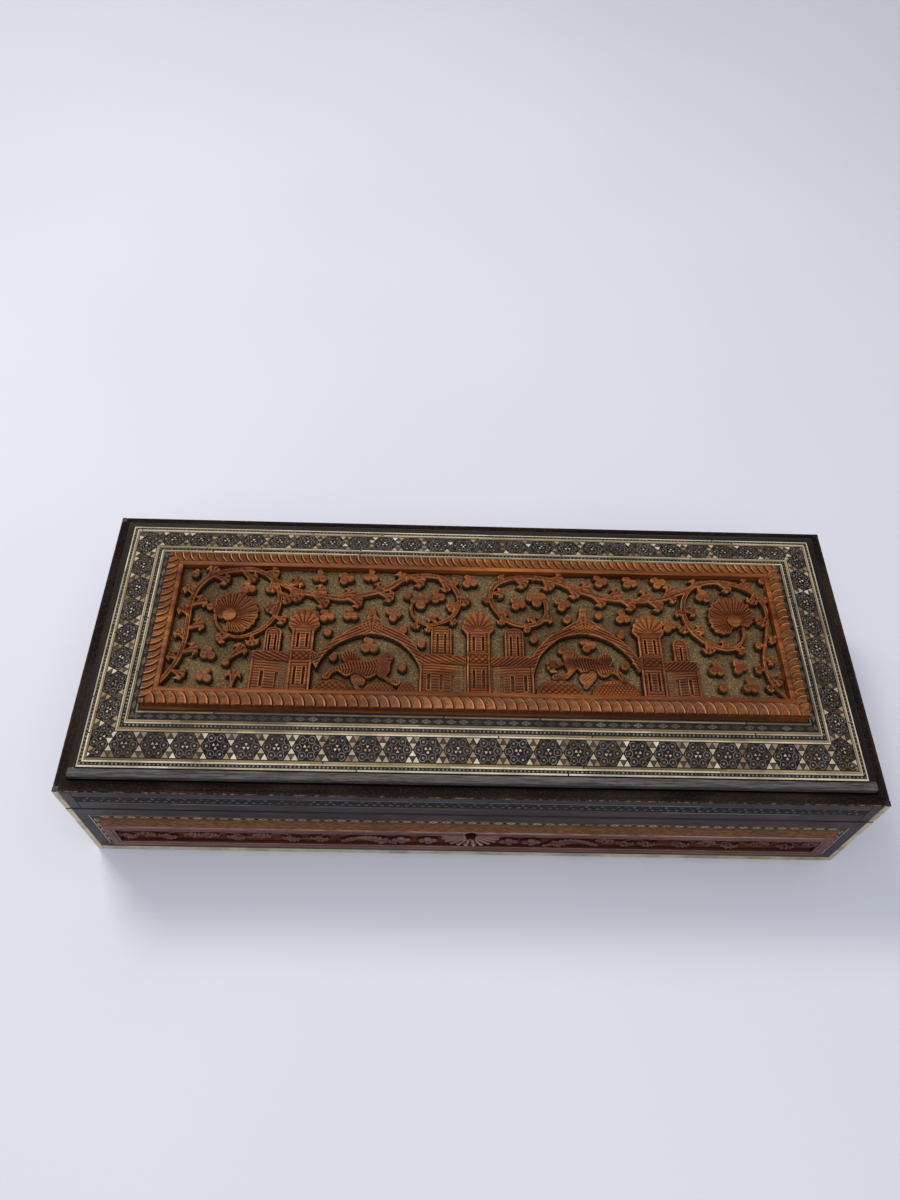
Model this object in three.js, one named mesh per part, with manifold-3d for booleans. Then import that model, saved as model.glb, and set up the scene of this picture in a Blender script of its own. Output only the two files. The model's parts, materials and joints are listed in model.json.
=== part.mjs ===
// A long hinged box of sandalwood boards, about 290 x 124 x 72 mm.
// The boards are faced with ebony and rosewood, edged with bone, inlaid with mosaic
// and set with carved panels.
// Millimetres, +Z up, the front faces -Y, and the origin is the middle of the base.
import * as THREE from "three";
import { mergeVertices } from "three/addons/utils/BufferGeometryUtils.js";
import Module from "manifold-3d";

const wasm = await Module();
wasm.setup();

// Overall sizes of the box over its veneers
const boxLength = 290;
const boxWidth = 120;
const caseHeight = 42;
const seamGap = 0.3;
const rimHeight = 15.3;

// Carcass of plain boards, and the joints between them
const boardThickness = 5.5;
const bottomThickness = 4.4;
const veneer = 1.2;
const glueLine = 0.1;
const lidTopMargin = 3.9;

// Bone strips along the corners and the foot
const cornerStrip = 2.1;
const baseEdging = 3.4;

// Inlaid walls: a dark frame, then mosaic, then a carved panel
const stileWidth = 4;
const lowerRail = 3.5;
const upperRail = 5.8;
const wallMosaic = 3.2;
const panelProud = 1.8;
const panelBevel = 4.1;
const panelSideBorder = 3.6;
const panelTopBorder = 3.4;
const panelFootBorder = 4.7;
const wallCarvingDepth = 1.4;
const fanReach = 11.2;
const wallLeafMargin = 1.4;
const wallLeafGap = 2.5;
const wallShy = 0.2;

// Raised middle of the lid: a ledge, a step, and a slope that carries the mosaic
const ledgeWidth = 4.55;
const stepHeight = 2.8;
const slopeAngle = THREE.MathUtils.degToRad(17);
const bevelStrip = 2.75;
const lidPanelInset = 27.2;
const lidPanelStand = 5;

// Carving of the lid panel
const gadroonWidth = 4.6;
const filletWidth = 1.8;
const gadroonDrop = 1.6;
const carvingDepth = 3.6;
const carvingShy = 0.4;
const carvingLayer = 0.05;
const stemWidth = 2.1;
const stemTip = 1;
const archBand = 3.4;
const shellCore = 2.6;
const leafSize = 2.6;

// Keyhole, and the lock let into the front board
const keyholeDrop = 15.6;
const keyholeRadius = 2.7;
const keySlotWidth = 3.7;
const keySlotReach = 6.6;
const lockHalfWidth = 15;
const lockHeight = 24;
const lockDepth = 3.6;
const lockPlate = 0.9;
const lockFit = 0.2;
const keyPinRadius = 0.8;
const boltLength = 15;
const boltNose = 3.6;
const boltHeight = 3.4;
const boltThickness = 1.5;
const boltTravel = 3;
const boltPlay = 0.3;
const boltAbovePin = 6.6;
const talonWidth = 3;
const talonDepth = 1.5;
const hookStem = 2;
const hookFoot = 3;
const hookFootHeight = 1.6;
const hookThickness = 1.2;
const hookPlay = 0.4;
const linkHalfLength = 14;
const linkWidth = 4;
const linkThickness = 0.8;

// Butt hinges on the back edge
const hingeFromEnd = 55;
const hingeLength = 26;
const hingeReach = 6;
const leafThickness = 0.8;
const leafRecess = 0.1;
const knuckleRadius = 1.6;
const knuckleLift = 0.2;
const hingePinRadius = 0.8;
const pinPlay = 0.05;
const leafPinGap = 0.15;
const knuckleGap = 0.2;
const knuckleRecess = 0.2;
const screwSpacing = 17;
const screwHeadRadius = 1.5;
const screwShankRadius = 0.7;
const screwLength = 4.6;
const screwHeadDepth = 0.7;
const screwSlotWidth = 0.46;
const screwSlotDepth = 0.35;
const screwPlay = 0.1;

// Roundness of turned and curved work, and the lobes of leaves, fans and shells
const roundSides = 24;
const screwSides = 12;
const leafSides = 12;
const fanLobes = 9;
const shellLobes = 9;
const lobeSteps = 4;
const leafNotch = 0.3;
const fanScallop = 0.06;
const shellScallop = 0.08;

// How far a cutting shape runs past the wood that it cuts
const overrun = 1;

// Sizes that follow from the ones above
const halfLength = boxLength / 2;
const halfWidth = boxWidth / 2;
const carcassBack = veneer + glueLine;
const boardInset = carcassBack + boardThickness;
const lidBottom = caseHeight + seamGap;
const keyholeHeight = caseHeight - keyholeDrop;
const ledgeHeight = lidBottom + rimHeight;
const lidBoardBottom = ledgeHeight - lidTopMargin;
const slopeRise = Math.tan(slopeAngle);
const veneerDrop = veneer / Math.cos(slopeAngle);
const slopeHeight = (inset) => ledgeHeight + stepHeight + (inset - ledgeWidth) * slopeRise;
const fieldHeight = slopeHeight(lidPanelInset) - veneerDrop - glueLine;
const lidPanelTop = slopeHeight(lidPanelInset) + lidPanelStand;
const carvingTop = lidPanelTop - carvingShy;
const carvingGround = lidPanelTop - carvingDepth;

// Finishes
const finish = (color, roughness, metalness = 0) =>
  new THREE.MeshStandardMaterial({ color, roughness, metalness });
const sandalwood = finish(0x9a5a30, 0.6);
const carvedSandalwood = finish(0x8a4622, 0.55);
const ebony = finish(0x231e1c, 0.4);
const rosewood = finish(0x3f2a2c, 0.42);
const bone = finish(0xc9b898, 0.45);
const mosaic = finish(0x6d675c, 0.4);
const brass = finish(0xb08d4a, 0.35, 0.9);
const steel = finish(0x8d8d8d, 0.4, 0.9);

// Solids: a geometry becomes a closed solid for cutting and joining, and comes back afterwards
function solid(geometry) {
  const bare = geometry.clone();
  bare.deleteAttribute("normal");
  bare.deleteAttribute("uv");
  const merged = mergeVertices(bare, 1e-4);
  return new wasm.Manifold(
    new wasm.Mesh({
      numProp: 3,
      vertProperties: merged.attributes.position.array,
      triVerts: new Uint32Array(merged.index.array),
    }),
  );
}

function geometryOf(body) {
  const mesh = body.getMesh();
  const geometry = new THREE.BufferGeometry();
  geometry.setAttribute("position", new THREE.BufferAttribute(mesh.vertProperties, 3));
  geometry.setIndex(new THREE.BufferAttribute(mesh.triVerts, 1));
  const faceted = geometry.toNonIndexed();
  faceted.computeVertexNormals();
  return faceted;
}

function cut(geometry, ...tools) {
  const body = tools.reduce((left, tool) => left.subtract(solid(tool)), solid(geometry));
  return geometryOf(body);
}

function join(geometry, ...others) {
  const body = others.reduce((sum, other) => sum.add(solid(other)), solid(geometry));
  return geometryOf(body);
}

// What lies inside the limits stays, and the rest is cut off
function trim(geometry, limits) {
  return geometryOf(solid(geometry).intersect(solid(limits)));
}

// A block between two opposite corners
function block([x0, y0, z0], [x1, y1, z1]) {
  const geometry = new THREE.BoxGeometry(x1 - x0, y1 - y0, z1 - z0);
  return geometry.translate((x0 + x1) / 2, (y0 + y1) / 2, (z0 + z1) / 2);
}

// An outline in the XY plane, raised from one height to another
function raise(outline, from, to) {
  const shape = outline instanceof THREE.Shape ? outline : new THREE.Shape(outline);
  const geometry = new THREE.ExtrudeGeometry(shape, {
    depth: to - from,
    bevelEnabled: false,
    curveSegments: leafSides,
  });
  return geometry.translate(0, 0, from);
}

function rectangle(x0, y0, x1, y1) {
  const corners = [[x0, y0], [x1, y0], [x1, y1], [x0, y1]];
  return corners.map(([x, y]) => new THREE.Vector2(x, y));
}

// A flat frame: a rectangle with a rectangular window
function windowFrame(outer, inner, from, to) {
  const shape = new THREE.Shape(rectangle(...outer));
  shape.holes.push(new THREE.Path(rectangle(...inner)));
  return raise(shape, from, to);
}

// A profile of [inset, height] points carried round a rectangle with mitred corners.
// A frame's profile closes on itself; a board's is capped at its first and last points.
function carryRound(profile, halfX, halfY, capped) {
  const signs = [[1, 1], [-1, 1], [-1, -1], [1, -1]];
  const rings = profile.map(([insetX, height, insetY = insetX]) =>
    signs.map(([sx, sy]) => [sx * (halfX - insetX), sy * (halfY - insetY), height]),
  );
  const corners = [];
  const quad = (a, b, c, d) => corners.push(...a, ...b, ...c, ...a, ...c, ...d);
  const spans = capped ? rings.length - 1 : rings.length;
  for (let i = 0; i < spans; i++) {
    const lower = rings[i];
    const upper = rings[(i + 1) % rings.length];
    for (let k = 0; k < 4; k++) {
      const next = (k + 1) % 4;
      quad(lower[k], lower[next], upper[next], upper[k]);
    }
  }
  if (capped) {
    const [a, b, c, d] = rings[0];
    quad(d, c, b, a);
    quad(...rings.at(-1));
  }
  const geometry = new THREE.BufferGeometry();
  geometry.setAttribute("position", new THREE.Float32BufferAttribute(corners, 3));
  return mergeVertices(geometry, 1e-5);
}

// A rod along X, centred at y and z
function rod(radius, x0, x1, y, z, sides = roundSides) {
  const geometry = new THREE.CylinderGeometry(radius, radius, x1 - x0, sides);
  return geometry.rotateZ(Math.PI / 2).translate((x0 + x1) / 2, y, z);
}

// The scene graph. Each side of the box has a group in which X runs along the side,
// Y runs up and Z runs out, so one description serves all four walls.
const box = new THREE.Group();
const sides = {};
["front", "right", "back", "left"].forEach((name, turn) => {
  const around = new THREE.Group();
  around.rotation.z = (turn * Math.PI) / 2;
  const wall = new THREE.Group();
  wall.rotation.x = Math.PI / 2;
  around.add(wall);
  box.add(around);
  const alongFront = turn % 2 === 0;
  sides[name] = {
    group: wall,
    half: alongFront ? halfLength : halfWidth,
    out: alongFront ? halfWidth : halfLength,
    alongFront,
  };
});

function place(name, geometry, material, parent = box) {
  const mesh = new THREE.Mesh(geometry, material);
  mesh.name = name;
  parent.add(mesh);
  return mesh;
}

// Keyhole: a round eye with a straight slot below it
function keyhole(from, to) {
  const eye = new THREE.CylinderGeometry(keyholeRadius, keyholeRadius, to - from, roundSides);
  eye.rotateX(Math.PI / 2).translate(0, keyholeHeight, (from + to) / 2);
  const halfSlot = keySlotWidth / 2;
  const slot = block([-halfSlot, keyholeHeight - keySlotReach, from], [halfSlot, keyholeHeight, to]);
  return join(eye, slot);
}

// Hinge places and levels, seen in the back wall's group
const hingeMiddle = halfLength - hingeFromEnd;
const hingePlaces = { left: hingeMiddle, right: -hingeMiddle };
const hingeOut = halfWidth + knuckleLift;
const hingeHeight = caseHeight + seamGap / 2;
const leafInner = hingeOut - hingeReach;
const leafTop = caseHeight - leafRecess;
const leafFoot = leafTop - leafThickness;
const upperLeafFoot = lidBottom + leafRecess;
const upperLeafTop = upperLeafFoot + leafThickness;
const screwOut = halfWidth - carcassBack - boardThickness / 2;

// Room that a hinge needs in the wood: the leaf's bed, the knuckle's hollow and the screws' holes
function hingeRoom(centre, bedFrom, bedTo) {
  const bedHalf = hingeLength / 2 + glueLine;
  const outside = halfWidth + overrun;
  return [
    block([centre - bedHalf, bedFrom, leafInner - glueLine], [centre + bedHalf, bedTo, outside]),
    rod(knuckleRadius + knuckleRecess, centre - bedHalf, centre + bedHalf, hingeHeight, hingeOut),
  ];
}

function screwHoles(centre, from, to) {
  return [-1, 1].map((side) => {
    const radius = screwShankRadius + screwPlay;
    const hole = new THREE.CylinderGeometry(radius, radius, to - from, screwSides);
    return hole.translate(centre + (side * screwSpacing) / 2, (from + to) / 2, screwOut);
  });
}

const caseHingeRoom = Object.values(hingePlaces).flatMap((centre) =>
  hingeRoom(centre, leafFoot - glueLine, caseHeight + seamGap),
);
const lidHingeRoom = Object.values(hingePlaces).flatMap((centre) =>
  hingeRoom(centre, caseHeight, upperLeafTop + glueLine),
);

// Case: the bottom board
const notch = cornerStrip + glueLine;
function cornerNotches(from, to) {
  return [[1, 1], [-1, 1], [-1, -1], [1, -1]].map(([sx, sy]) => {
    const xs = [sx * (halfLength - notch), sx * (halfLength + overrun)].sort((a, b) => a - b);
    const ys = [sy * (halfWidth - notch), sy * (halfWidth + overrun)].sort((a, b) => a - b);
    return block([xs[0], ys[0], from], [xs[1], ys[1], to]);
  });
}
const bottomBoard = block(
  [-halfLength + carcassBack, -halfWidth + carcassBack, 0],
  [halfLength - carcassBack, halfWidth - carcassBack, bottomThickness],
);
const bottomNotches = cornerNotches(-overrun, bottomThickness + overrun);
place("bottom_board", cut(bottomBoard, ...bottomNotches), sandalwood);

// A wall board or lid rail. Front and back boards run the whole length, and the ends fit between them.
function wallBoard(side, from, to) {
  const outer = side.out - carcassBack;
  const shortening = side.alongFront ? carcassBack : boardInset + glueLine;
  const reach = side.half - shortening;
  const board = block([-reach, from, outer - boardThickness], [reach, to, outer]);
  if (!side.alongFront) return board;
  const nick = (sign) => {
    const xs = [sign * (side.half - notch), sign * (side.half + overrun)].sort((a, b) => a - b);
    return block([xs[0], from - overrun, side.out - notch], [xs[1], to + overrun, side.out]);
  };
  return cut(board, nick(1), nick(-1));
}

// Lock places, seen in the front wall's group: the bolt slides along X under the hook of the link plate
const lockInner = halfWidth - boardInset;
const lockOuter = lockInner + lockDepth;
const lockTop = caseHeight - leafRecess;
const lockFoot = lockTop - lockHeight;
const lockMortise = block(
  [-lockHalfWidth - lockFit, lockFoot - lockFit, lockInner - overrun],
  [lockHalfWidth + lockFit, caseHeight + overrun, lockOuter + lockFit],
);

const boardFoot = bottomThickness + glueLine;
for (const [name, side] of Object.entries(sides)) {
  let board = wallBoard(side, boardFoot, caseHeight);
  if (name === "front") board = cut(board, lockMortise, keyhole(lockInner, halfWidth));
  if (name === "back") {
    const holes = Object.values(hingePlaces).flatMap((centre) =>
      screwHoles(centre, leafFoot - screwLength - glueLine, leafTop),
    );
    board = cut(board, ...caseHingeRoom, ...holes);
  }
  place(name + "_board", board, sandalwood, side.group);
}

// Case: bone edging round the foot, and bone strips up the corners
for (const [name, side] of Object.entries(sides)) {
  const reach = side.half - notch;
  const strip = block([-reach, 0, side.out - veneer], [reach, baseEdging, side.out]);
  place(name + "_base_edging", strip, bone, side.group);
}

const cornerNames = {
  front_right: [1, -1],
  back_right: [1, 1],
  back_left: [-1, 1],
  front_left: [-1, -1],
};
function cornerStrips(prefix, from, to) {
  for (const [name, [sx, sy]] of Object.entries(cornerNames)) {
    const half = cornerStrip / 2;
    const strip = block([-half, -half, from], [half, half, to]);
    const mesh = place(prefix + name + "_corner_strip", strip, bone);
    mesh.position.set(sx * (halfLength - half), sy * (halfWidth - half), 0);
  }
}
cornerStrips("case_", 0, caseHeight);

// Case: dark facings, each with a window for its mosaic and its carved panel
const facingFoot = baseEdging + glueLine;
const mosaicFoot = facingFoot + lowerRail;
const mosaicTop = caseHeight - upperRail;
const panelFoot = mosaicFoot + wallMosaic;
const panelTop = mosaicTop - wallMosaic;

for (const [name, side] of Object.entries(sides)) {
  const facingReach = side.half - notch;
  const mosaicReach = facingReach - stileWidth;
  const panelReach = mosaicReach - wallMosaic;
  const under = side.out - veneer;
  const outline = [-facingReach, facingFoot, facingReach, caseHeight];
  const opening = [-mosaicReach, mosaicFoot, mosaicReach, mosaicTop];
  let facing = windowFrame(outline, opening, under, side.out);
  if (name === "back") facing = cut(facing, ...caseHingeRoom);
  place(name + "_facing", facing, ebony, side.group);

  const strip = [
    -mosaicReach + glueLine,
    mosaicFoot + glueLine,
    mosaicReach - glueLine,
    mosaicTop - glueLine,
  ];
  const light = [-panelReach, panelFoot, panelReach, panelTop];
  place(name + "_mosaic_frame", windowFrame(strip, light, under, side.out), mosaic, side.group);
  const carved = wallPanel(name, side, panelReach - glueLine);
  place(name + "_carved_panel", carved, carvedSandalwood, side.group);
}

// A three-lobed leaf as a closed outline
function trefoil(x, y, size, turn = Math.PI / 2) {
  const points = [];
  for (let i = 0; i < leafSides; i++) {
    const angle = (i / leafSides) * 2 * Math.PI;
    const radius = size * (1 - leafNotch + leafNotch * Math.cos(3 * angle));
    const across = radius * Math.cos(angle + turn);
    const up = radius * Math.sin(angle + turn);
    points.push(new THREE.Vector2(x + across, y + up));
  }
  return points;
}

// A wall's carved panel: a border with a bevelled top edge, leaves in a sunk ground,
// and a fan round the keyhole
function wallPanel(name, side, reach) {
  const under = side.out - veneer;
  const face = side.out + panelProud;
  const foot = panelFoot + glueLine;
  const top = panelTop - glueLine;
  const section = new THREE.Shape([
    new THREE.Vector2(under, foot),
    new THREE.Vector2(face, foot),
    new THREE.Vector2(face, top - panelBevel),
    new THREE.Vector2(side.out, top),
    new THREE.Vector2(under, top),
  ]);
  const blank = new THREE.ExtrudeGeometry(section, { depth: 2 * reach, bevelEnabled: false });
  blank.rotateY(-Math.PI / 2).translate(reach, 0, 0);
  const sunkFoot = foot + panelFootBorder;
  const sunkTop = top - panelBevel - panelTopBorder;
  const sunkReach = reach - panelSideBorder;
  const ground = face - wallCarvingDepth;
  const sink = block([-sunkReach, sunkFoot, ground], [sunkReach, sunkTop, face + overrun]);
  const middle = (sunkFoot + sunkTop) / 2;
  const wallLeaf = (sunkTop - sunkFoot) / 2 - wallLeafMargin;
  const pitch = 2 * wallLeaf + wallLeafGap;
  const rooted = ground - wallShy;
  const carved = [];
  const count = Math.floor((sunkReach - wallLeaf) / pitch);
  for (let i = -count; i <= count; i++) {
    if (Math.abs(i) * pitch < fanReach + wallLeaf) continue;
    const upright = i % 2 === 0 ? Math.PI / 2 : -Math.PI / 2;
    carved.push(raise(trefoil(i * pitch, middle, wallLeaf, upright), rooted, face - wallShy));
  }
  carved.push(raise(fan(sunkFoot, sunkTop), rooted, face - wallShy / 2));
  let panel = join(cut(blank, sink), ...carved);
  if (name === "front") panel = cut(panel, keyhole(under - overrun, face + overrun));
  return panel;
}

// The fan: a scalloped shell that spreads downwards from the top border
function fan(foot, top) {
  const points = [];
  const steps = fanLobes * lobeSteps;
  for (let i = 0; i <= steps; i++) {
    const angle = Math.PI + (i / steps) * Math.PI;
    const scallop = 1 - fanScallop * Math.abs(Math.cos((i * Math.PI) / lobeSteps));
    const across = fanReach * scallop * Math.cos(angle);
    const down = (top - foot) * scallop * Math.sin(angle);
    points.push(new THREE.Vector2(across, top + wallShy + down));
  }
  return points;
}

// Lock case: a brass tray, open towards the board, with the key's pin and the guides of the bolt
const boltFoot = keyholeHeight + boltAbovePin;
const boltTop = boltFoot + boltHeight;
const boltInner = lockInner + lockPlate + boltPlay;
const boltOuter = boltInner + boltThickness;
const hookStart = boltNose + hookPlay;
const hookStemStart = hookStart + hookFoot;
const hookEnd = hookStemStart + hookStem;
const hookFootTop = boltFoot - hookPlay;
const hookFootBottom = hookFootTop - hookFootHeight;

function lockCase() {
  const tray = block([-lockHalfWidth, lockFoot, lockInner], [lockHalfWidth, lockTop, lockOuter]);
  const hollow = block(
    [-lockHalfWidth + lockPlate, lockFoot + lockPlate, lockInner + lockPlate],
    [lockHalfWidth - lockPlate, lockTop - lockPlate, lockOuter + overrun],
  );
  const hookSlot = block(
    [hookStart - hookPlay, lockTop - 2 * lockPlate, lockInner + lockPlate],
    [hookEnd + hookPlay, lockTop + overrun, lockOuter + overrun],
  );
  const pinLength = lockDepth - lockPlate;
  const pin = new THREE.CylinderGeometry(keyPinRadius, keyPinRadius, pinLength, screwSides);
  pin.rotateX(Math.PI / 2).translate(0, keyholeHeight, (lockInner + lockOuter) / 2);
  const guideEnd = hookStart - boltTravel - 2 * hookPlay;
  const guide = (from, to) =>
    block([boltNose - boltLength, from, lockInner + lockPlate / 2], [guideEnd, to, boltOuter]);
  const lower = guide(boltFoot - boltPlay - lockPlate, boltFoot - boltPlay);
  const upper = guide(boltTop + boltPlay, boltTop + boltPlay + lockPlate);
  const keyway = block(
    [-talonWidth, keyholeHeight, boltInner - boltPlay],
    [talonWidth, boltFoot + boltPlay, lockOuter],
  );
  return join(cut(tray, hollow, hookSlot), pin, cut(lower, keyway), upper);
}
place("lock_case", lockCase(), brass, sides.front.group);

const bolt = block([boltNose - boltLength, boltFoot, boltInner], [boltNose, boltTop, boltOuter]);
const talon = block(
  [-talonWidth / 2, boltFoot - overrun, boltInner - overrun],
  [talonWidth / 2, boltFoot + talonDepth, boltOuter + overrun],
);
place("lock_bolt", cut(bolt, talon), steel, sides.front.group);

// Screws lie head up along Y, with the head's top at zero
function screw(length) {
  const profile = [
    [0, -length],
    [screwShankRadius, -length + 2 * screwShankRadius],
    [screwShankRadius, -screwHeadDepth],
    [screwHeadRadius, 0],
    [0, 0],
  ].map(([radius, height]) => new THREE.Vector2(radius, height));
  const turned = new THREE.LatheGeometry(profile, screwSides);
  const slotReach = screwHeadRadius + overrun;
  const slotHalf = screwSlotWidth / 2;
  const slot = block([-slotReach, -screwSlotDepth, -slotHalf], [slotReach, overrun, slotHalf]);
  return cut(turned, slot);
}

// The hole that a screw's head and shank pass through in a brass plate, with its mouth at the given height
function sunkHole(x, mouth, out, facing) {
  const profile = [
    [0, -screwHeadDepth - overrun],
    [screwShankRadius + screwPlay, -screwHeadDepth - overrun],
    [screwShankRadius + screwPlay, -screwHeadDepth],
    [screwHeadRadius + screwPlay, 0],
    [screwHeadRadius + screwPlay, leafThickness / 2],
    [0, leafThickness / 2],
  ].map(([radius, height]) => new THREE.Vector2(radius, height));
  const hole = new THREE.LatheGeometry(profile, screwSides);
  if (facing < 0) hole.rotateX(Math.PI);
  return hole.translate(x, mouth, out);
}

// Hinges: two leaves let into the seam, wrapped round one pin
const knuckleThird = hingeLength / 6;
const knuckleShy = hingeOut - knuckleRadius - knuckleGap;
const leafEdge = hingeOut - hingePinRadius - leafPinGap;

function leaf(centre, foot, top, knuckles, mouth, facing) {
  const half = hingeLength / 2;
  const plate = block([centre - half, foot, leafInner], [centre + half, top, knuckleShy]);
  const joined = knuckles.flatMap(([from, to]) => [
    block([centre + from, foot, knuckleShy - overrun], [centre + to, top, leafEdge]),
    rod(knuckleRadius, centre + from, centre + to, hingeHeight, hingeOut),
  ]);
  const boreRadius = hingePinRadius + pinPlay;
  const boreReach = half + overrun;
  const bore = rod(boreRadius, centre - boreReach, centre + boreReach, hingeHeight, hingeOut);
  const holes = [-1, 1].map((side) => {
    const x = centre + (side * screwSpacing) / 2;
    return sunkHole(x, mouth, screwOut, facing);
  });
  return cut(join(plate, ...joined), bore, ...holes);
}

for (const [name, centre] of Object.entries(hingePlaces)) {
  const end = hingeLength / 2;
  const outerKnuckles = [
    [-end, -knuckleThird - knuckleGap / 2],
    [knuckleThird + knuckleGap / 2, end],
  ];
  const middleKnuckle = [[-knuckleThird + knuckleGap / 2, knuckleThird - knuckleGap / 2]];
  const back = sides.back.group;
  const lower = leaf(centre, leafFoot, leafTop, outerKnuckles, leafTop, 1);
  const upper = leaf(centre, upperLeafFoot, upperLeafTop, middleKnuckle, upperLeafFoot, -1);
  place("hinge_" + name + "_lower_leaf", lower, brass, back);
  place("hinge_" + name + "_upper_leaf", upper, brass, back);
  const pin = rod(hingePinRadius, centre - end, centre + end, hingeHeight, hingeOut);
  place("hinge_" + name + "_pin", pin, brass, back);
  [1, 2].forEach((number, index) => {
    const x = centre + (index - 0.5) * screwSpacing;
    const down = place("hinge_" + name + "_lower_screw_" + number, screw(screwLength), brass, back);
    down.position.set(x, leafTop, screwOut);
    const up = place("hinge_" + name + "_upper_screw_" + number, screw(screwLength), brass, back);
    up.rotation.x = Math.PI;
    up.position.set(x, upperLeafFoot, screwOut);
  });
}

// Lid: rails, rim facings and corner strips
const linkFoot = lidBottom + leafRecess;
const linkTop = linkFoot + linkThickness;
const linkInner = lockInner + hookPlay;
const linkBed = block(
  [-linkHalfLength - lockFit, lidBottom - overrun, lockInner - overrun],
  [linkHalfLength + lockFit, linkTop + glueLine, linkInner + linkWidth + lockFit],
);
const railTop = lidBoardBottom - glueLine;

for (const [name, side] of Object.entries(sides)) {
  let rail = wallBoard(side, lidBottom, railTop);
  const reach = side.half - notch;
  let rim = block([-reach, lidBottom, side.out - veneer], [reach, ledgeHeight, side.out]);
  if (name === "front") rail = cut(rail, linkBed);
  if (name === "back") {
    const holes = Object.values(hingePlaces).flatMap((centre) =>
      screwHoles(centre, upperLeafFoot, upperLeafFoot + screwLength + glueLine),
    );
    rail = cut(rail, ...lidHingeRoom, ...holes);
    rim = cut(rim, ...lidHingeRoom);
  }
  place("lid_" + name + "_rail", rail, sandalwood, side.group);
  place("lid_" + name + "_rim_facing", rim, rosewood, side.group);
}
cornerStrips("lid_", lidBottom, ledgeHeight);

// Link plate: let into the front rail, with a hook that drops into the lock
const linkPlate = block(
  [-linkHalfLength, linkFoot, linkInner],
  [linkHalfLength, linkTop, linkInner + linkWidth],
);
const hookOuter = boltInner + hookThickness;
const stemTop = linkTop - glueLine;
const stem = block([hookStemStart, hookFootBottom, boltInner], [hookEnd, stemTop, hookOuter]);
const foot = block([hookStart, hookFootBottom, boltInner], [hookEnd, hookFootTop, hookOuter]);
place("lock_link_plate", join(linkPlate, stem, foot), brass, sides.front.group);

// Lid: the top board, with its ledge and sloping field
const bevelInner = ledgeWidth + bevelStrip;
const mosaicOuter = bevelInner + glueLine;
const mosaicInner = lidPanelInset - glueLine;
const lidBoard = carryRound(
  [
    [carcassBack, lidBoardBottom],
    [carcassBack, ledgeHeight],
    [mosaicOuter, ledgeHeight],
    [mosaicOuter, slopeHeight(mosaicOuter) - veneerDrop - glueLine],
    [lidPanelInset, fieldHeight],
  ],
  halfLength,
  halfWidth,
  true,
);
const lidNotches = cornerNotches(lidBoardBottom - overrun, ledgeHeight + overrun);
place("lid_top_board", cut(lidBoard, ...lidNotches), rosewood);

const bevelMoulding = carryRound(
  [
    [ledgeWidth, ledgeHeight + glueLine],
    [ledgeWidth, slopeHeight(ledgeWidth)],
    [bevelInner, slopeHeight(bevelInner)],
    [bevelInner, ledgeHeight + glueLine],
  ],
  halfLength,
  halfWidth,
  false,
);
place("lid_bevel_moulding", bevelMoulding, ebony);

const mosaicBorder = carryRound(
  [
    [mosaicOuter, slopeHeight(mosaicOuter) - veneerDrop],
    [mosaicOuter, slopeHeight(mosaicOuter)],
    [mosaicInner, slopeHeight(mosaicInner)],
    [mosaicInner, slopeHeight(mosaicInner) - veneerDrop],
  ],
  halfLength,
  halfWidth,
  false,
);
place("lid_mosaic_border", mosaicBorder, mosaic);

// Lid: the carved panel. Its scene is drawn on a sheet, X along the box and Y towards the back,
// and the sheet is stretched to the field inside the panel's frame.
const sheet = { halfLength: 111.4, halfWidth: 26.4 };
const panelFieldInset = lidPanelInset + gadroonWidth + filletWidth;
const fieldHalfLength = halfLength - panelFieldInset;
const fieldHalfWidth = halfWidth - panelFieldInset;
const stretchX = fieldHalfLength / sheet.halfLength;
const stretchY = fieldHalfWidth / sheet.halfWidth;
const sceneFoot = -sheet.halfWidth;
const towers = [
  { middle: -63.8, halfShaft: 3.8, halfDome: 5.4, eaves: -0.8, top: 8.4 },
  { middle: 0.8, halfShaft: 4, halfDome: 5.8, eaves: -1.2, top: 9.6 },
  { middle: 63.7, halfShaft: 4.3, halfDome: 5.8, eaves: -1.2, top: 8.8 },
];
const houses = [
  { left: -80.8, right: -67, eaves: -10.4, turretLeft: -77.2, turretRight: -72.4, turretTop: 0 },
  { left: -20.8, right: -2.8, eaves: -10.4, turretLeft: -16.8, turretRight: -9.6, turretTop: 1.6 },
  { left: 4.4, right: 20.4, eaves: -10.8, turretLeft: 10.4, turretRight: 17.2, turretTop: 1.2 },
  { left: 67.4, right: 80.8, eaves: -11.2, turretLeft: 72.8, turretRight: 77.2, turretTop: -1.6 },
];
const arches = [
  { middle: -39.4, halfSpan: 18.4, springing: -14, crown: -1.2, peak: 8.8 },
  { middle: 40.4, halfSpan: 19.2, springing: -14.4, crown: -0.4, peak: 9.8 },
];
const mounds = [
  { middle: -51.6, halfWidth: 6.4, top: -21.2 },
  { middle: -34, halfWidth: 5.6, top: -22 },
  { middle: -25.6, halfWidth: 2.8, top: -22.2 },
  { middle: 29.6, halfWidth: 7.6, top: -19.4 },
  { middle: 50, halfWidth: 8.8, top: -19.8 },
];
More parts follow.
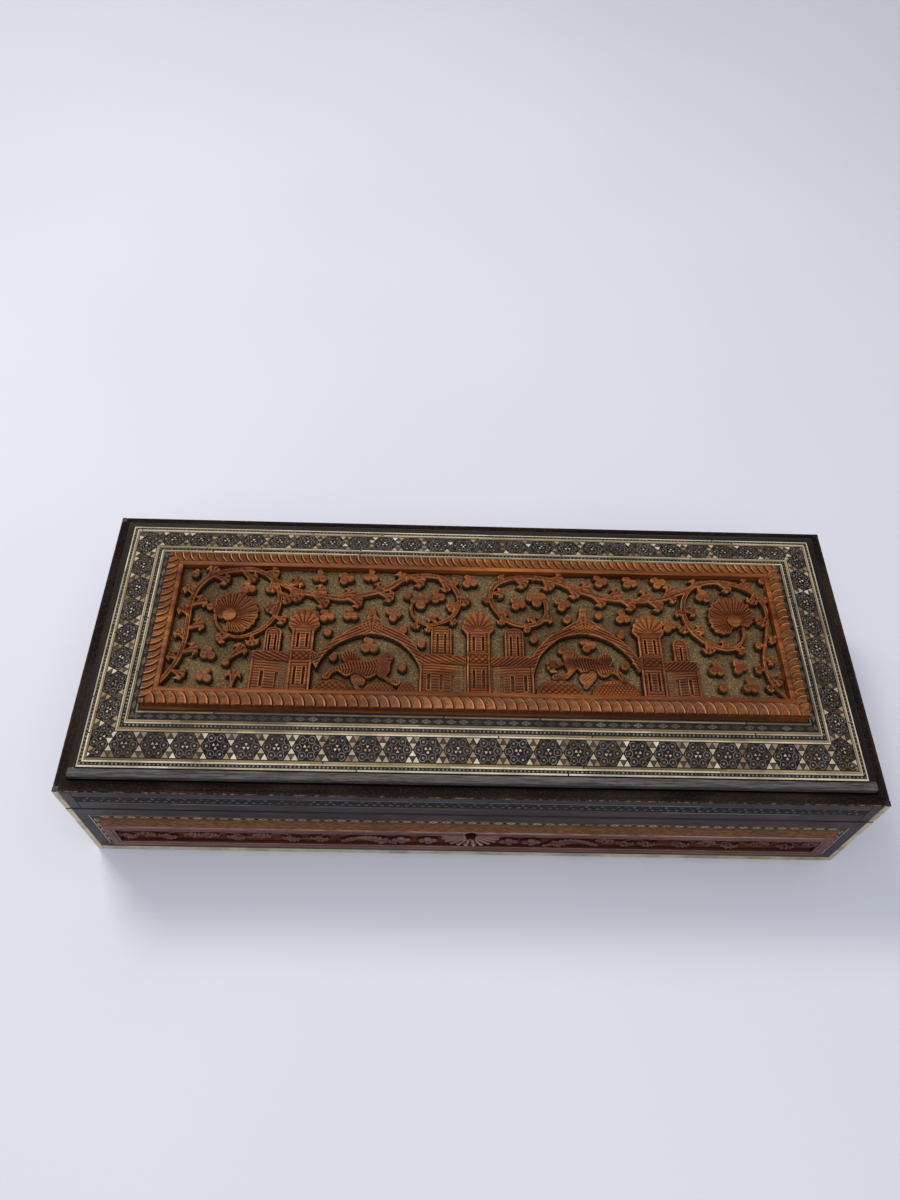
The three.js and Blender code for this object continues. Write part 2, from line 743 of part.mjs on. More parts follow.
const cats = [
  [
    [-30.2, -12.2], [-32.4, -10.2], [-36.4, -13], [-42, -14.2], [-47.6, -14.6], [-54.2, -19.2],
    [-52.4, -20.6], [-47.6, -18.6], [-42, -18.8], [-37.2, -19.4], [-33.2, -20.6], [-28.2, -22.6],
    [-27.4, -21.2], [-31, -19.2], [-31, -15.6],
  ],
  [
    [29.4, -8.4], [31.6, -6.2], [34.6, -8.4], [38.4, -11.4], [44, -12.6], [48.8, -13.8], [52.4, -17],
    [53.4, -19.6], [51.4, -20.2], [49, -17.4], [41.6, -15.8], [37.6, -16], [34.4, -17.4], [30.4, -19.4],
    [27.4, -19.2], [28, -17.8], [32, -16.2], [32.4, -13], [31.6, -10.2],
  ],
];
const stems = [
  [
    [-113.2, -25.6], [-106.8, -14], [-106, 0.4], [-106, 12.4], [-100.4, 22.4], [-90, 24.6], [-79.6, 23.4],
    [-73.2, 13.2], [-75.6, 2.8], [-82.8, -3.6], [-91.6, -3.2], [-96, 1.2],
  ],
  [
    [-79.6, 23.4], [-66, 16.8], [-50, 13], [-34.8, 17.6], [-24.4, 23.6], [-14, 23.6], [-7.2, 17.2],
    [-7.6, 7.6], [-15.6, 2.4], [-22.8, 4.8], [-24.4, 10.6],
  ],
  [
    [26, 13], [25.6, 6.8], [17.6, 2.8], [8.8, 7.2], [5.6, 16.4], [11.2, 23.2], [23.2, 24.4], [35.2, 21.6],
    [48, 16.8], [60.8, 15.6], [74.4, 17.2], [88.8, 23.2], [100, 23.4], [108, 16.4], [109.2, 5.2],
    [105.8, -9], [111, -25.6],
  ],
  [
    [86, 22.6], [80, 18], [79.2, 6.8], [84, -2], [94.4, -5.2], [100, 1.2], [98, 5],
  ],
];
const shells = [
  { middle: [-92, 5.6], radius: 8.2 },
  { middle: [97, 7], radius: 8.6 },
];
const leaves = [
  [-107.2, 22.6], [-85.6, 16.8], [-67.6, 20.8], [-66.4, 13.6], [-56.4, 11.6], [-44.4, 11.4], [-31.6, 14.6],
  [-59.2, 22.6], [-50, 22.6], [-40.4, 23], [-58, 17.4], [-47.2, 17], [-37.2, 19.8], [-55.6, 5.6],
  [-47.2, 6.4], [-31.2, 6.8], [-55.2, -1.6], [-26.8, 0.4], [-20.4, -6], [-15.2, 15.2], [-2, 21.4],
  [-40.4, -6.8], [-96.8, -11.6], [-88, -12], [-96.8, -20.8], [-86.8, -21.2], [-52.4, -12], [-21.2, 12],
  [48, 22.4], [59.2, 22.6], [70.4, 22.4], [26, 14], [15.6, 13.2], [32.8, 12.8], [55.2, 7.6], [46, 7.6],
  [33.6, 6.4], [72, 4.4], [76.8, 2.8], [87.2, -14], [95.2, -13.2], [98.4, -20.4], [88, -22],
  [20.8, -2.8], [53.6, -0.4], [41.2, -5], [110, 23.4],
];

function onField([x, y]) {
  return new THREE.Vector2(x * stretchX, y * stretchY);
}

function outline(points) {
  return points.map(onField);
}

// A stem: a band along a smooth curve that thins towards its tip
function stemBand(points) {
  const curve = new THREE.SplineCurve(outline(points));
  const steps = points.length * 3;
  const left = [];
  const right = [];
  for (let i = 0; i <= steps; i++) {
    const along = i / steps;
    const half = THREE.MathUtils.lerp(stemWidth, stemTip, along) / 2;
    const at = curve.getPoint(along);
    const way = curve.getTangent(along);
    left.push(new THREE.Vector2(at.x - way.y * half, at.y + way.x * half));
    right.push(new THREE.Vector2(at.x + way.y * half, at.y - way.x * half));
  }
  return left.concat(right.reverse());
}

function towerOutline({ middle, halfShaft, halfDome, eaves, top }) {
  const points = [[middle - halfShaft, sceneFoot], [middle + halfShaft, sceneFoot]];
  points.push([middle + halfShaft, eaves - halfDome / 2]);
  for (let i = 0; i <= leafSides; i++) {
    const angle = (i / leafSides) * Math.PI;
    points.push([middle + halfDome * Math.cos(angle), eaves + (top - eaves) * Math.sin(angle)]);
  }
  points.push([middle - halfShaft, eaves - halfDome / 2]);
  return outline(points);
}

function houseOutline({ left, right, eaves, turretLeft, turretRight, turretTop }) {
  const shoulder = (turretRight - turretLeft) / 4;
  const turretEaves = turretTop - shoulder;
  return outline([
    [left, sceneFoot], [right, sceneFoot], [right, eaves],
    [turretRight, eaves], [turretRight, turretEaves], [turretRight - shoulder, turretTop],
    [turretLeft + shoulder, turretTop], [turretLeft, turretEaves], [turretLeft, eaves],
    [left, eaves],
  ]);
}

function archOutline({ middle, halfSpan, springing, crown, peak }) {
  const inner = [];
  const outer = [];
  for (let i = 0; i <= leafSides; i++) {
    const angle = (i / leafSides) * Math.PI;
    const rise = crown - springing;
    const reach = halfSpan + archBand / 2;
    inner.push([middle + halfSpan * Math.cos(angle), springing + rise * Math.sin(angle)]);
    outer.push([middle + reach * Math.cos(angle), springing + (rise + archBand) * Math.sin(angle)]);
  }
  outer[leafSides / 2] = [middle, peak];
  return outline(inner.concat(outer.reverse()));
}

function moundOutline({ middle, halfWidth: reach, top }) {
  const points = [];
  for (let i = 0; i <= leafSides; i++) {
    const angle = (i / leafSides) * Math.PI;
    points.push([middle + reach * Math.cos(angle), sceneFoot + (top - sceneFoot) * Math.sin(angle)]);
  }
  return outline(points);
}

function shellOutline({ middle: [x, y], radius }) {
  const points = [];
  const steps = shellLobes * lobeSteps;
  for (let i = 0; i < steps; i++) {
    const angle = (i / steps) * 2 * Math.PI;
    const scallop = shellScallop * (1 - Math.abs(Math.cos((shellLobes * angle) / 2)));
    const reach = radius * (1 - scallop);
    points.push([x + reach * Math.cos(angle), y + reach * Math.sin(angle)]);
  }
  return outline(points);
}

function shellCoreOutline({ middle }) {
  const { x, y } = onField(middle);
  const shape = new THREE.Shape();
  shape.absarc(x, y, shellCore, 0, 2 * Math.PI);
  return shape;
}

function leafOutline(point) {
  const { x, y } = onField(point);
  return trefoil(x, y, leafSize);
}

const lidPanelBlank = carryRound(
  [
    [lidPanelInset, fieldHeight + glueLine],
    [lidPanelInset, lidPanelTop - gadroonDrop],
    [lidPanelInset + gadroonWidth, lidPanelTop - carvingShy / 2],
    [panelFieldInset, lidPanelTop],
    [panelFieldInset, carvingGround],
  ],
  halfLength,
  halfWidth,
  true,
);

// The forms lie in layers, the towers and the shells' cores highest.
// A form that runs off the field ends inside the fillet of the frame.
const rooted = carvingGround - carvingShy;
const trimX = fieldHalfLength + filletWidth / 2;
const trimY = fieldHalfWidth + filletWidth / 2;
const fieldRoom = block([-trimX, -trimY, rooted - overrun], [trimX, trimY, lidPanelTop]);
const carve = (shape, layer) =>
  trim(raise(shape, rooted, carvingTop - layer * carvingLayer), fieldRoom);
const lidCarving = [
  ...towers.map((tower) => carve(towerOutline(tower), 0)),
  ...shells.map((shell) => carve(shellCoreOutline(shell), 0)),
  ...cats.map((cat) => carve(outline(cat), 2)),
  ...arches.map((arch) => carve(archOutline(arch), 3)),
  ...houses.map((house) => carve(houseOutline(house), 4)),
  ...stems.map((points) => carve(stemBand(points), 5)),
  ...shells.map((shell) => carve(shellOutline(shell), 6)),
  ...leaves.map((point) => carve(leafOutline(point), 7)),
  ...mounds.map((mound) => carve(moundOutline(mound), 8)),
];
place("lid_carved_panel", join(lidPanelBlank, ...lidCarving), carvedSandalwood);

export default box;
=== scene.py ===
# %% [markdown]
# # A carved sandalwood box with mosaic bands
# A long box of sandalwood boards, faced with ebony and rosewood and edged with bone.
# Its lid carries a carved panel inside wide bands of mosaic, and each wall has a narrow carved panel.
# Everything below is in the box's own frame: X along the front, Y towards the back, Z up, the base at zero.

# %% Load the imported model
import json
import math

import bmesh
import bpy
import numpy as np
from mathutils import Matrix, Vector

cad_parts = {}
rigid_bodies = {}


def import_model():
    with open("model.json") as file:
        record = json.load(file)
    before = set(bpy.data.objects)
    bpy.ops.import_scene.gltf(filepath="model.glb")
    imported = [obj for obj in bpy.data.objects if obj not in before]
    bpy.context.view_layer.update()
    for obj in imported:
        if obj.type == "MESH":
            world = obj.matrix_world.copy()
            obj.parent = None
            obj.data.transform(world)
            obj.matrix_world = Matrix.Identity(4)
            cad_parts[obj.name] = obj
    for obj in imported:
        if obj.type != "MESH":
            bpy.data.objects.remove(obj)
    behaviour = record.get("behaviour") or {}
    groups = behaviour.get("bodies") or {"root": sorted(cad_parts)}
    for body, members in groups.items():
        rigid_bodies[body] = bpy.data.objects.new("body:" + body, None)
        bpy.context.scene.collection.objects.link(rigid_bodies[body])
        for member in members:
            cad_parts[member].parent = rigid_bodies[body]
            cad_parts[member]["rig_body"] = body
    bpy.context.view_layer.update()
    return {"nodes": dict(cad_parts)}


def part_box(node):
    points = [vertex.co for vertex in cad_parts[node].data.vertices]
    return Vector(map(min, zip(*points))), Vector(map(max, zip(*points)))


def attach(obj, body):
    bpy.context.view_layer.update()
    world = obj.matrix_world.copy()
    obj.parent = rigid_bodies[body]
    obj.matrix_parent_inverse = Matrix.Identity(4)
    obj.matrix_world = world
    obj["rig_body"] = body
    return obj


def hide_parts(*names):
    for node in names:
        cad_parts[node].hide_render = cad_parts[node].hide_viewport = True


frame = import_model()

MM = 0.001
chance = np.random.default_rng(1871)
nodes = frame["nodes"]
print(len(nodes), "nodes in the frame")

# %% [markdown]
# The carcass and the moulding of the lid give the places that many pieces share.

# %% Shared places
def far_corner(node):
    """The corner of a node's box with the largest X, Y and Z, in millimetres."""
    return Vector(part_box(node)[1]) / MM


WALLS = ("front", "right", "back", "left")
WALL_X, WALL_Y = far_corner("right_facing").x, far_corner("back_facing").y
MOULDING = far_corner("lid_bevel_moulding")
STILE_WIDTH = 6.2
KEYHOLE, KEYHOLE_RADIUS = 26.4, 2.7
SEAM = (far_corner("front_facing").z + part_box("lid_front_rim_facing")[0][2] / MM) / 2
print("walls out to", round(WALL_X, 2), round(WALL_Y, 2), "and the lid's seam at", round(SEAM, 2))


def wall_size(quarter):
    """Half the length of a wall, and how far out it stands. The quarters follow the order of WALLS."""
    return (WALL_X, WALL_Y) if quarter % 2 == 0 else (WALL_Y, WALL_X)


def turn_round(quarter, x, y, z):
    """A point drawn for the front wall, turned about the middle of the box to the wall of a quarter."""
    turn = quarter * math.pi / 2
    return x * math.cos(turn) - y * math.sin(turn), x * math.sin(turn) + y * math.cos(turn), z


# %% [markdown]
# ## Where the viewer stands
# The box is seen from above and a little left of its middle, close enough for strong perspective.
# The lens and the place were worked out from the box's own corners, so the outline falls where it should.

# %% Camera
lens = bpy.data.cameras.new("camera")
lens.sensor_width = 36
lens.lens = 27.78
lens.clip_start = 0.01
camera = bpy.data.objects.new("camera", lens)
look_right = Vector((0.99953, 0.00643, 0.03011))
look_up = Vector((-0.02217, 0.82870, 0.55921))
look_back = Vector((-0.02135, -0.55961, 0.82845))
turn = Matrix((look_right, look_up, look_back)).transposed().to_4x4()
camera.matrix_world = Matrix.Translation(Vector((-0.01711, -0.18172, 0.35985))) @ turn
bpy.context.scene.collection.objects.link(camera)
bpy.context.scene.camera = camera
print("camera", tuple(round(v, 3) for v in camera.location))

# %% [markdown]
# ## Small tools
# A material is a set of linked steps, so a few short functions keep each recipe readable.
# Colours are given as they look on a screen, from 0 to 255.

# %% Tools for materials
def colour(red, green, blue):
    """A screen colour as the linear values that a shader works with."""
    parts = [v / 255 for v in (red, green, blue)]
    return tuple(v / 12.92 if v < 0.04045 else ((v + 0.055) / 1.055) ** 2.4 for v in parts) + (1.0,)


class Recipe:
    """One material and the steps that make it."""

    def __init__(self, name):
        self.material = bpy.data.materials.new(name)
        self.material.use_nodes = True
        self.tree = self.material.node_tree
        self.surface = self.tree.nodes["Principled BSDF"]
        self.place = self.tree.nodes.new("ShaderNodeTexCoord").outputs["Object"]

    def feed(self, socket, value):
        if isinstance(value, bpy.types.NodeSocket):
            self.tree.links.new(value, socket)
        elif value is not None:
            socket.default_value = value

    def stretch(self, x, y, z):
        """Object coordinates in metres, multiplied axis by axis."""
        step = self.tree.nodes.new("ShaderNodeMapping")
        self.feed(step.inputs["Vector"], self.place)
        self.feed(step.inputs["Scale"], (x, y, z))
        return step.outputs["Vector"]

    def noise(self, vector, detail, scale=1.0, roughness=0.55, twist=0.0):
        step = self.tree.nodes.new("ShaderNodeTexNoise")
        self.feed(step.inputs["Vector"], vector)
        self.feed(step.inputs["Scale"], scale)
        self.feed(step.inputs["Detail"], detail)
        self.feed(step.inputs["Roughness"], roughness)
        self.feed(step.inputs["Distortion"], twist)
        return step.outputs["Fac"]

    def attribute(self, name):
        step = self.tree.nodes.new("ShaderNodeAttribute")
        step.attribute_name = name
        return step.outputs["Fac"]

    def ramp(self, value, *stops):
        """Stops are (place, colour or grey)."""
        step = self.tree.nodes.new("ShaderNodeValToRGB")
        self.feed(step.inputs["Fac"], value)
        row = step.color_ramp.elements
        while len(row) < len(stops):
            row.new(0.5)
        for element, (place, tone) in zip(row, stops):
            element.position = place
            element.color = tone if isinstance(tone, tuple) else (tone, tone, tone, 1)
        return step.outputs["Color"]

    def mix(self, factor, first, second, way="MIX"):
        step = self.tree.nodes.new("ShaderNodeMix")
        step.data_type = "RGBA"
        step.blend_type = way
        step.clamp_factor = True
        self.feed(step.inputs[0], factor)
        self.feed(step.inputs[6], first)
        self.feed(step.inputs[7], second)
        return step.outputs[2]

    def sum(self, way, first, second=None):
        step = self.tree.nodes.new("ShaderNodeMath")
        step.operation = way
        self.feed(step.inputs[0], first)
        self.feed(step.inputs[1], second)
        return step.outputs[0]

    def axis(self, name):
        step = self.tree.nodes.new("ShaderNodeSeparateXYZ")
        self.feed(step.inputs[0], self.place)
        return step.outputs[name]

    def past(self, x, y):
        """How far a point lies outside a rectangle about the middle."""
        out_x = self.sum("SUBTRACT", self.sum("ABSOLUTE", self.axis("X")), x * MM)
        out_y = self.sum("SUBTRACT", self.sum("ABSOLUTE", self.axis("Y")), y * MM)
        return self.sum("MAXIMUM", out_x, out_y)

    def span(self, value, low, high):
        """A length turned into 0 to 1 between two lengths in millimetres."""
        step = self.tree.nodes.new("ShaderNodeMapRange")
        self.feed(step.inputs["Value"], value)
        self.feed(step.inputs["From Min"], low * MM)
        self.feed(step.inputs["From Max"], high * MM)
        return step.outputs["Result"]

    def bump(self, height, depth, under=None):
        """A height from 0 to 1 as a relief of that many millimetres."""
        step = self.tree.nodes.new("ShaderNodeBump")
        self.feed(step.inputs["Distance"], depth * MM)
        self.feed(step.inputs["Strength"], 1.0)
        self.feed(step.inputs["Height"], height)
        self.feed(step.inputs["Normal"], under)
        return step.outputs["Normal"]

    def finish(self, base, roughness, normal=None, sheen=0.5, metal=0.0):
        self.feed(self.surface.inputs["Base Color"], base)
        self.feed(self.surface.inputs["Roughness"], roughness)
        self.feed(self.surface.inputs["Normal"], normal)
        self.feed(self.surface.inputs["Specular IOR Level"], sheen)
        self.feed(self.surface.inputs["Metallic"], metal)
        return self.material


print("tools for materials ready")

# %% [markdown]
# ## Wood
# Wood is long fibres: its colour runs in streaks many times longer than they are wide,
# its pores are short dark scratches along the same line, and handling polishes it unevenly.
# Three noises at those three scales give the colour, and the pores also dent the surface.

# %% Wood recipes
GRAIN = {"x": (0.05, 1, 1), "y": (1, 0.05, 1)}
PORES = 3800


def grain_steps(recipe, along, tones, streaks=650):
    """Colour along one axis, and the three noises that made it: streaks, pores and patches."""
    lie = GRAIN[along]
    streak = recipe.noise(recipe.stretch(*(streaks * v for v in lie)), detail=5, roughness=0.6, twist=0.6)
    pore = recipe.noise(recipe.stretch(*(PORES * v for v in lie)), detail=2, roughness=0.5)
    patch = recipe.noise(recipe.place, scale=38, detail=3)
    dark, middle, light = tones
    base = recipe.ramp(streak, (0.28, dark), (0.5, middle), (0.74, light))
    base = recipe.mix(recipe.ramp(patch, (0.35, 0.0), (0.7, 0.35)), base, dark)
    base = recipe.mix(recipe.ramp(pore, (0.3, 0.55), (0.46, 0.0)), base, dark, "MULTIPLY")
    return base, streak, pore, patch


def keyhole_shade(recipe, base):
    """Black where no light reaches, inside the keyhole. Its slot hangs below its eye, and so does this."""
    aside = recipe.sum("ABSOLUTE", recipe.axis("X"))
    away = recipe.sum("ABSOLUTE", recipe.sum("SUBTRACT", recipe.axis("Z"), (KEYHOLE - 2) * MM))
    beside = recipe.sum("LESS_THAN", aside, 1.3 * KEYHOLE_RADIUS * MM)
    level = recipe.sum("LESS_THAN", away, 2.3 * KEYHOLE_RADIUS * MM)
    front = recipe.sum("LESS_THAN", recipe.axis("Y"), (8 - WALL_Y) * MM)
    inside = recipe.sum("MULTIPLY", recipe.sum("MULTIPLY", beside, level), front)
    return recipe.mix(inside, base, colour(9, 5, 4))


def pore_dents(recipe, pore, depth, under=None):
    """Pores as fine dents, on top of the relief that is already there."""
    return recipe.bump(recipe.ramp(pore, (0.3, 0.0), (0.5, 1.0)), depth, under)


def wood(name, along, tones, sheen=0.3):
    recipe = Recipe(name)
    base, streak, pore, patch = grain_steps(recipe, along, tones)
    base = keyhole_shade(recipe, base)
    rough = recipe.ramp(patch, (0.3, 0.43), (0.7, 0.62))
    dent = recipe.bump(streak, 0.045, pore_dents(recipe, pore, 0.03))
    return recipe.finish(base, rough, dent, sheen)


SANDALWOOD = (colour(118, 68, 34), colour(158, 100, 56), colour(188, 132, 82))
ROSEWOOD = (colour(36, 22, 24), colour(58, 41, 45), colour(86, 64, 68))
# The blue-grey tint of the ebony stiles is a painted reflection of the pale surroundings.
STILE = (colour(28, 25, 30), colour(46, 43, 51), colour(72, 69, 80))
SLATE = (colour(22, 18, 16), colour(38, 32, 29), colour(62, 54, 49))
EBONY = (colour(17, 14, 12), colour(29, 25, 22), colour(46, 41, 36))
LEDGE = (colour(14, 9, 7), colour(25, 17, 14), colour(44, 32, 25))

plain = {along: wood("sandalwood_" + along, along, SANDALWOOD) for along in "xy"}
ebony = {along: wood("ebony_" + along, along, EBONY, 0.15) for along in "xy"}
MOULDING_BAND = 3


def moulding_wood():
    """Dark wood. The front and back lengths take lighter tones than the two ends, and the ends' dark ledge
    tones are a painted shade. Along the front it is rubbed to a scratched silvery grey, partly real scratches
    and partly a painted sheen.
    """
    recipe = Recipe("moulding_wood")
    along_front, _, pore, _ = grain_steps(recipe, "x", SLATE)
    shaded_end_tones = grain_steps(recipe, "y", LEDGE)[0]
    inner = (MOULDING.y - MOULDING_BAND) * MM
    on_side = recipe.sum("LESS_THAN", recipe.sum("ABSOLUTE", recipe.axis("Y")), inner)
    # Painted shade: the two ends of the moulding take the darker ledge tones.
    base = recipe.mix(on_side, along_front, shaded_end_tones)
    on_front = recipe.sum("LESS_THAN", recipe.axis("Y"), -inner)
    scratch = recipe.noise(recipe.stretch(90, 1500, 1500), detail=6, roughness=0.8)
    # Partly real scratches, partly painted sheen: the front turns silvery grey.
    wear_and_sheen = recipe.sum("MULTIPLY", on_front, recipe.ramp(scratch, (0.4, 0.08), (0.62, 0.95)))
    base = recipe.mix(wear_and_sheen, base, colour(102, 97, 94))
    rough = recipe.ramp(scratch, (0.35, 0.65), (0.65, 0.42))
    dent = recipe.bump(scratch, 0.12, pore_dents(recipe, pore, 0.04))
    return recipe.finish(base, rough, dent, 0.2)


slate = moulding_wood()
print("plain woods ready")

# %% [markdown]
# Some boards are veneered with two woods at once: ebony stiles beside a rosewood rail,
# or a dark lid board whose underside is bare sandalwood.
# The same board then takes its tones from where the point lies.

# %% Woods that change along a board
LEDGE_SKIN = 57.3


def above(recipe, height):
    return recipe.sum("GREATER_THAN", recipe.axis("Z"), height * MM)


def within(recipe, along, reach, low, high):
    """1 between two heights, as far out as the stiles."""
    out = recipe.sum("ABSOLUTE", recipe.axis(along.upper()))
    between = recipe.sum("LESS_THAN", out, reach * MM)
    tall = recipe.sum("LESS_THAN", recipe.axis("Z"), high * MM)
    return recipe.sum("MULTIPLY", recipe.sum("MULTIPLY", between, tall), above(recipe, low))


def worn_ledge_with_painted_light(recipe, base, along):
    """The dark skin on top of the lid's rim, with dust, grit and rubbed patches. The black along the foot of
    the moulding is painted shadow. The pale line along the rim's sharp edge is partly bare worn wood and
    partly a painted highlight.
    """
    skin = grain_steps(recipe, along, LEDGE, streaks=420)[0]
    rub = recipe.noise(recipe.place, scale=420, detail=4, roughness=0.7)
    dusty = recipe.noise(recipe.place, scale=16, detail=3)
    grit = recipe.noise(recipe.place, scale=1300, detail=3, roughness=0.7)
    skin = recipe.mix(recipe.ramp(dusty, (0.5, 0.0), (0.72, 0.45)), skin, colour(66, 56, 42))
    skin = recipe.mix(recipe.ramp(grit, (0.5, 0.0), (0.7, 0.3)), skin, colour(82, 68, 54))
    skin = recipe.mix(recipe.ramp(rub, (0.62, 0.0), (0.72, 0.4)), skin, colour(96, 56, 38))
    # Painted shadow: black along the foot of the moulding, where it shades the ledge.
    painted_shadow_at_moulding = recipe.span(recipe.past(MOULDING.x, MOULDING.y), 0.3, 0.75)
    skin = recipe.mix(recipe.ramp(painted_shadow_at_moulding, (0.0, 0.98), (1.0, 0.0)), skin, colour(5, 3, 3))
    # Partly wear, partly painted highlight: a broken pale line along the rim's sharp edge.
    edge = recipe.span(recipe.past(WALL_X, WALL_Y), -0.5, -0.1)
    bare_edge_and_highlight = recipe.sum("MULTIPLY", edge, recipe.ramp(rub, (0.48, 0.0), (0.62, 0.8)))
    skin = recipe.mix(bare_edge_and_highlight, skin, colour(158, 112, 84))
    return recipe.mix(above(recipe, LEDGE_SKIN), base, skin)


def faced_wood(name, along, low, high, capped=False):
    """Dark stiles at both ends of a wall, and a rosewood rail between them and between two heights."""
    recipe = Recipe(name)
    stile, streak, pore, patch = grain_steps(recipe, along, STILE)
    rail = grain_steps(recipe, along, ROSEWOOD)[0]
    reach = (WALL_X if along == "x" else WALL_Y) - STILE_WIDTH
    base = recipe.mix(within(recipe, along, reach, low, high), stile, rail)
    rough = recipe.ramp(patch, (0.3, 0.34), (0.7, 0.52))
    if capped:
        base = worn_ledge_with_painted_light(recipe, base, along)
        rough = recipe.mix(above(recipe, LEDGE_SKIN), rough, (0.85, 0.85, 0.85, 1))
    dent = recipe.bump(streak, 0.05, pore_dents(recipe, pore, 0.03))
    return recipe.finish(keyhole_shade(recipe, base), rough, dent, 0.12)


def lid_board_wood():
    """Bare sandalwood below, seen when the lid is open, and the dark ledge above."""
    recipe = Recipe("lid_board_wood")
    bare_edge_and_highlight, streak, pore, patch = grain_steps(recipe, "x", SANDALWOOD)
    base = worn_ledge_with_painted_light(recipe, bare_edge_and_highlight, "x")
    rough = recipe.ramp(patch, (0.3, 0.6), (0.7, 0.8))
    dent = recipe.bump(streak, 0.05, pore_dents(recipe, pore, 0.05))
    return recipe.finish(base, rough, dent, 0.03)


lid_board = lid_board_wood()
FACING_RAIL, RIM_RAIL = (36.2, 60), (42, 47.8)
facings, rims = {}, {}
for along, size in (("x", "long"), ("y", "short")):
    facings[along] = faced_wood("facing_wood_" + size, along, *FACING_RAIL)
    rims[along] = faced_wood("rim_wood_" + size, along, *RIM_RAIL, capped=True)
print("veneered woods ready")

# %% [markdown]
# ## Bone, metal and inlay
# Bone is cream with faint yellow clouds and fine dark pores.
# Old brass has brown patches where hands don't reach.
# Inlay is made of tiny slips, each a little lighter or darker than its neighbour, so each carries a shade.

# %% Bone and metals
BONE = (colour(158, 138, 104), colour(200, 184, 150), colour(224, 212, 184))


def bone_recipe(name, capped):
    recipe = Recipe(name)
    cloud = recipe.noise(recipe.place, scale=110, detail=4)
    pore = recipe.noise(recipe.stretch(900, 900, 900), detail=2, roughness=0.7)
    streak = recipe.noise(recipe.stretch(60, 60, 900), detail=3)
    base = recipe.ramp(cloud, *zip((0.3, 0.52, 0.75), BONE))
    base = recipe.mix(recipe.ramp(pore, (0.3, 0.5), (0.42, 0.0)), base, colour(110, 86, 58))
    base = recipe.mix(recipe.ramp(streak, (0.55, 0.0), (0.8, 0.3)), base, colour(176, 154, 116))
    # Painted shadow in the seam between lid and case: the bone darkens close to it.
    from_seam = recipe.sum("ABSOLUTE", recipe.sum("SUBTRACT", recipe.axis("Z"), SEAM * MM))
    seam_shadow = recipe.ramp(recipe.span(from_seam, 0.25, 0.7), (0.0, 0.95), (1.0, 0.0))
    base = recipe.mix(seam_shadow, base, colour(44, 28, 18))
    if capped:
        base = worn_ledge_with_painted_light(recipe, base, "x")
    rough = recipe.ramp(cloud, (0.3, 0.55), (0.7, 0.42))
    return recipe.finish(base, rough, recipe.bump(pore, 0.02), 0.3)


def metal_recipe(name, bright, dull):
    recipe = Recipe(name)
    patch = recipe.noise(recipe.place, scale=160, detail=6, roughness=0.65)
    scratch = recipe.noise(recipe.stretch(200, 2600, 2600), detail=3)
    base = recipe.ramp(patch, (0.38, dull), (0.6, bright))
    rough = recipe.ramp(patch, (0.3, 0.62), (0.7, 0.3))
    return recipe.finish(base, rough, recipe.bump(scratch, 0.01), metal=0.95)


bone = bone_recipe("bone", False)
capped_bone = bone_recipe("bone_under_the_ledge", True)
brass = metal_recipe("brass", colour(196, 158, 88), colour(112, 82, 44))
steel = metal_recipe("steel", colour(150, 148, 144), colour(84, 76, 70))


def slip_recipe(name, dark, light):
    recipe = Recipe("inlay_" + name)
    shade = recipe.attribute("shade")
    fibre = recipe.noise(recipe.stretch(1500, 1500, 1500), detail=3)
    base = recipe.mix(shade, dark, light)
    base = recipe.mix(recipe.ramp(fibre, (0.35, 0.35), (0.6, 0.0)), base, dark)
    grime = recipe.noise(recipe.place, scale=70, detail=4)
    base = recipe.mix(recipe.ramp(grime, (0.42, 0.0), (0.66, 0.42)), base, colour(50, 39, 27))
    rough = recipe.ramp(fibre, (0.3, 0.62), (0.7, 0.5))
    return recipe.finish(base, rough, recipe.bump(fibre, 0.01), 0.05)


SLIP_TONES = {
    "bone": (colour(158, 142, 112), colour(230, 220, 194)),
    "tan": (colour(112, 92, 64), colour(176, 152, 112)),
    "pink": (colour(122, 100, 86), colour(170, 146, 128)),
    "brown": (colour(56, 48, 42), colour(92, 84, 74)),
    "black": (colour(26, 21, 20), colour(50, 43, 40)),
    "pewter": (colour(60, 57, 53), colour(156, 152, 144)),
}
SLIPS = {name: slip_recipe(name, *tones) for name, tones in SLIP_TONES.items()}
print(len(SLIPS), "inlay recipes ready")

# %% [markdown]
# ## Carved wood
# Dust has settled in the sunk ground for a century, so the ground is grey and rough,
# while the tops are orange-brown and polished by hands.
# Six numbers come with each point of the carving: whether it lies in the sunk ground, how hollow it is,
# how sharp an edge it is on, how much dust it holds, how near the foot of an upright cut it is,
# and whether it is on the planed bevel.
# The hollows, the upright walls and the ground at the foot of the walls are darkened as painted shade, the
# ground partly as dirt too, and sharp edges take a painted highlight.

# %% Recipe for carved wood
PLANED = (colour(76, 45, 22), colour(107, 67, 34), colour(142, 96, 58))


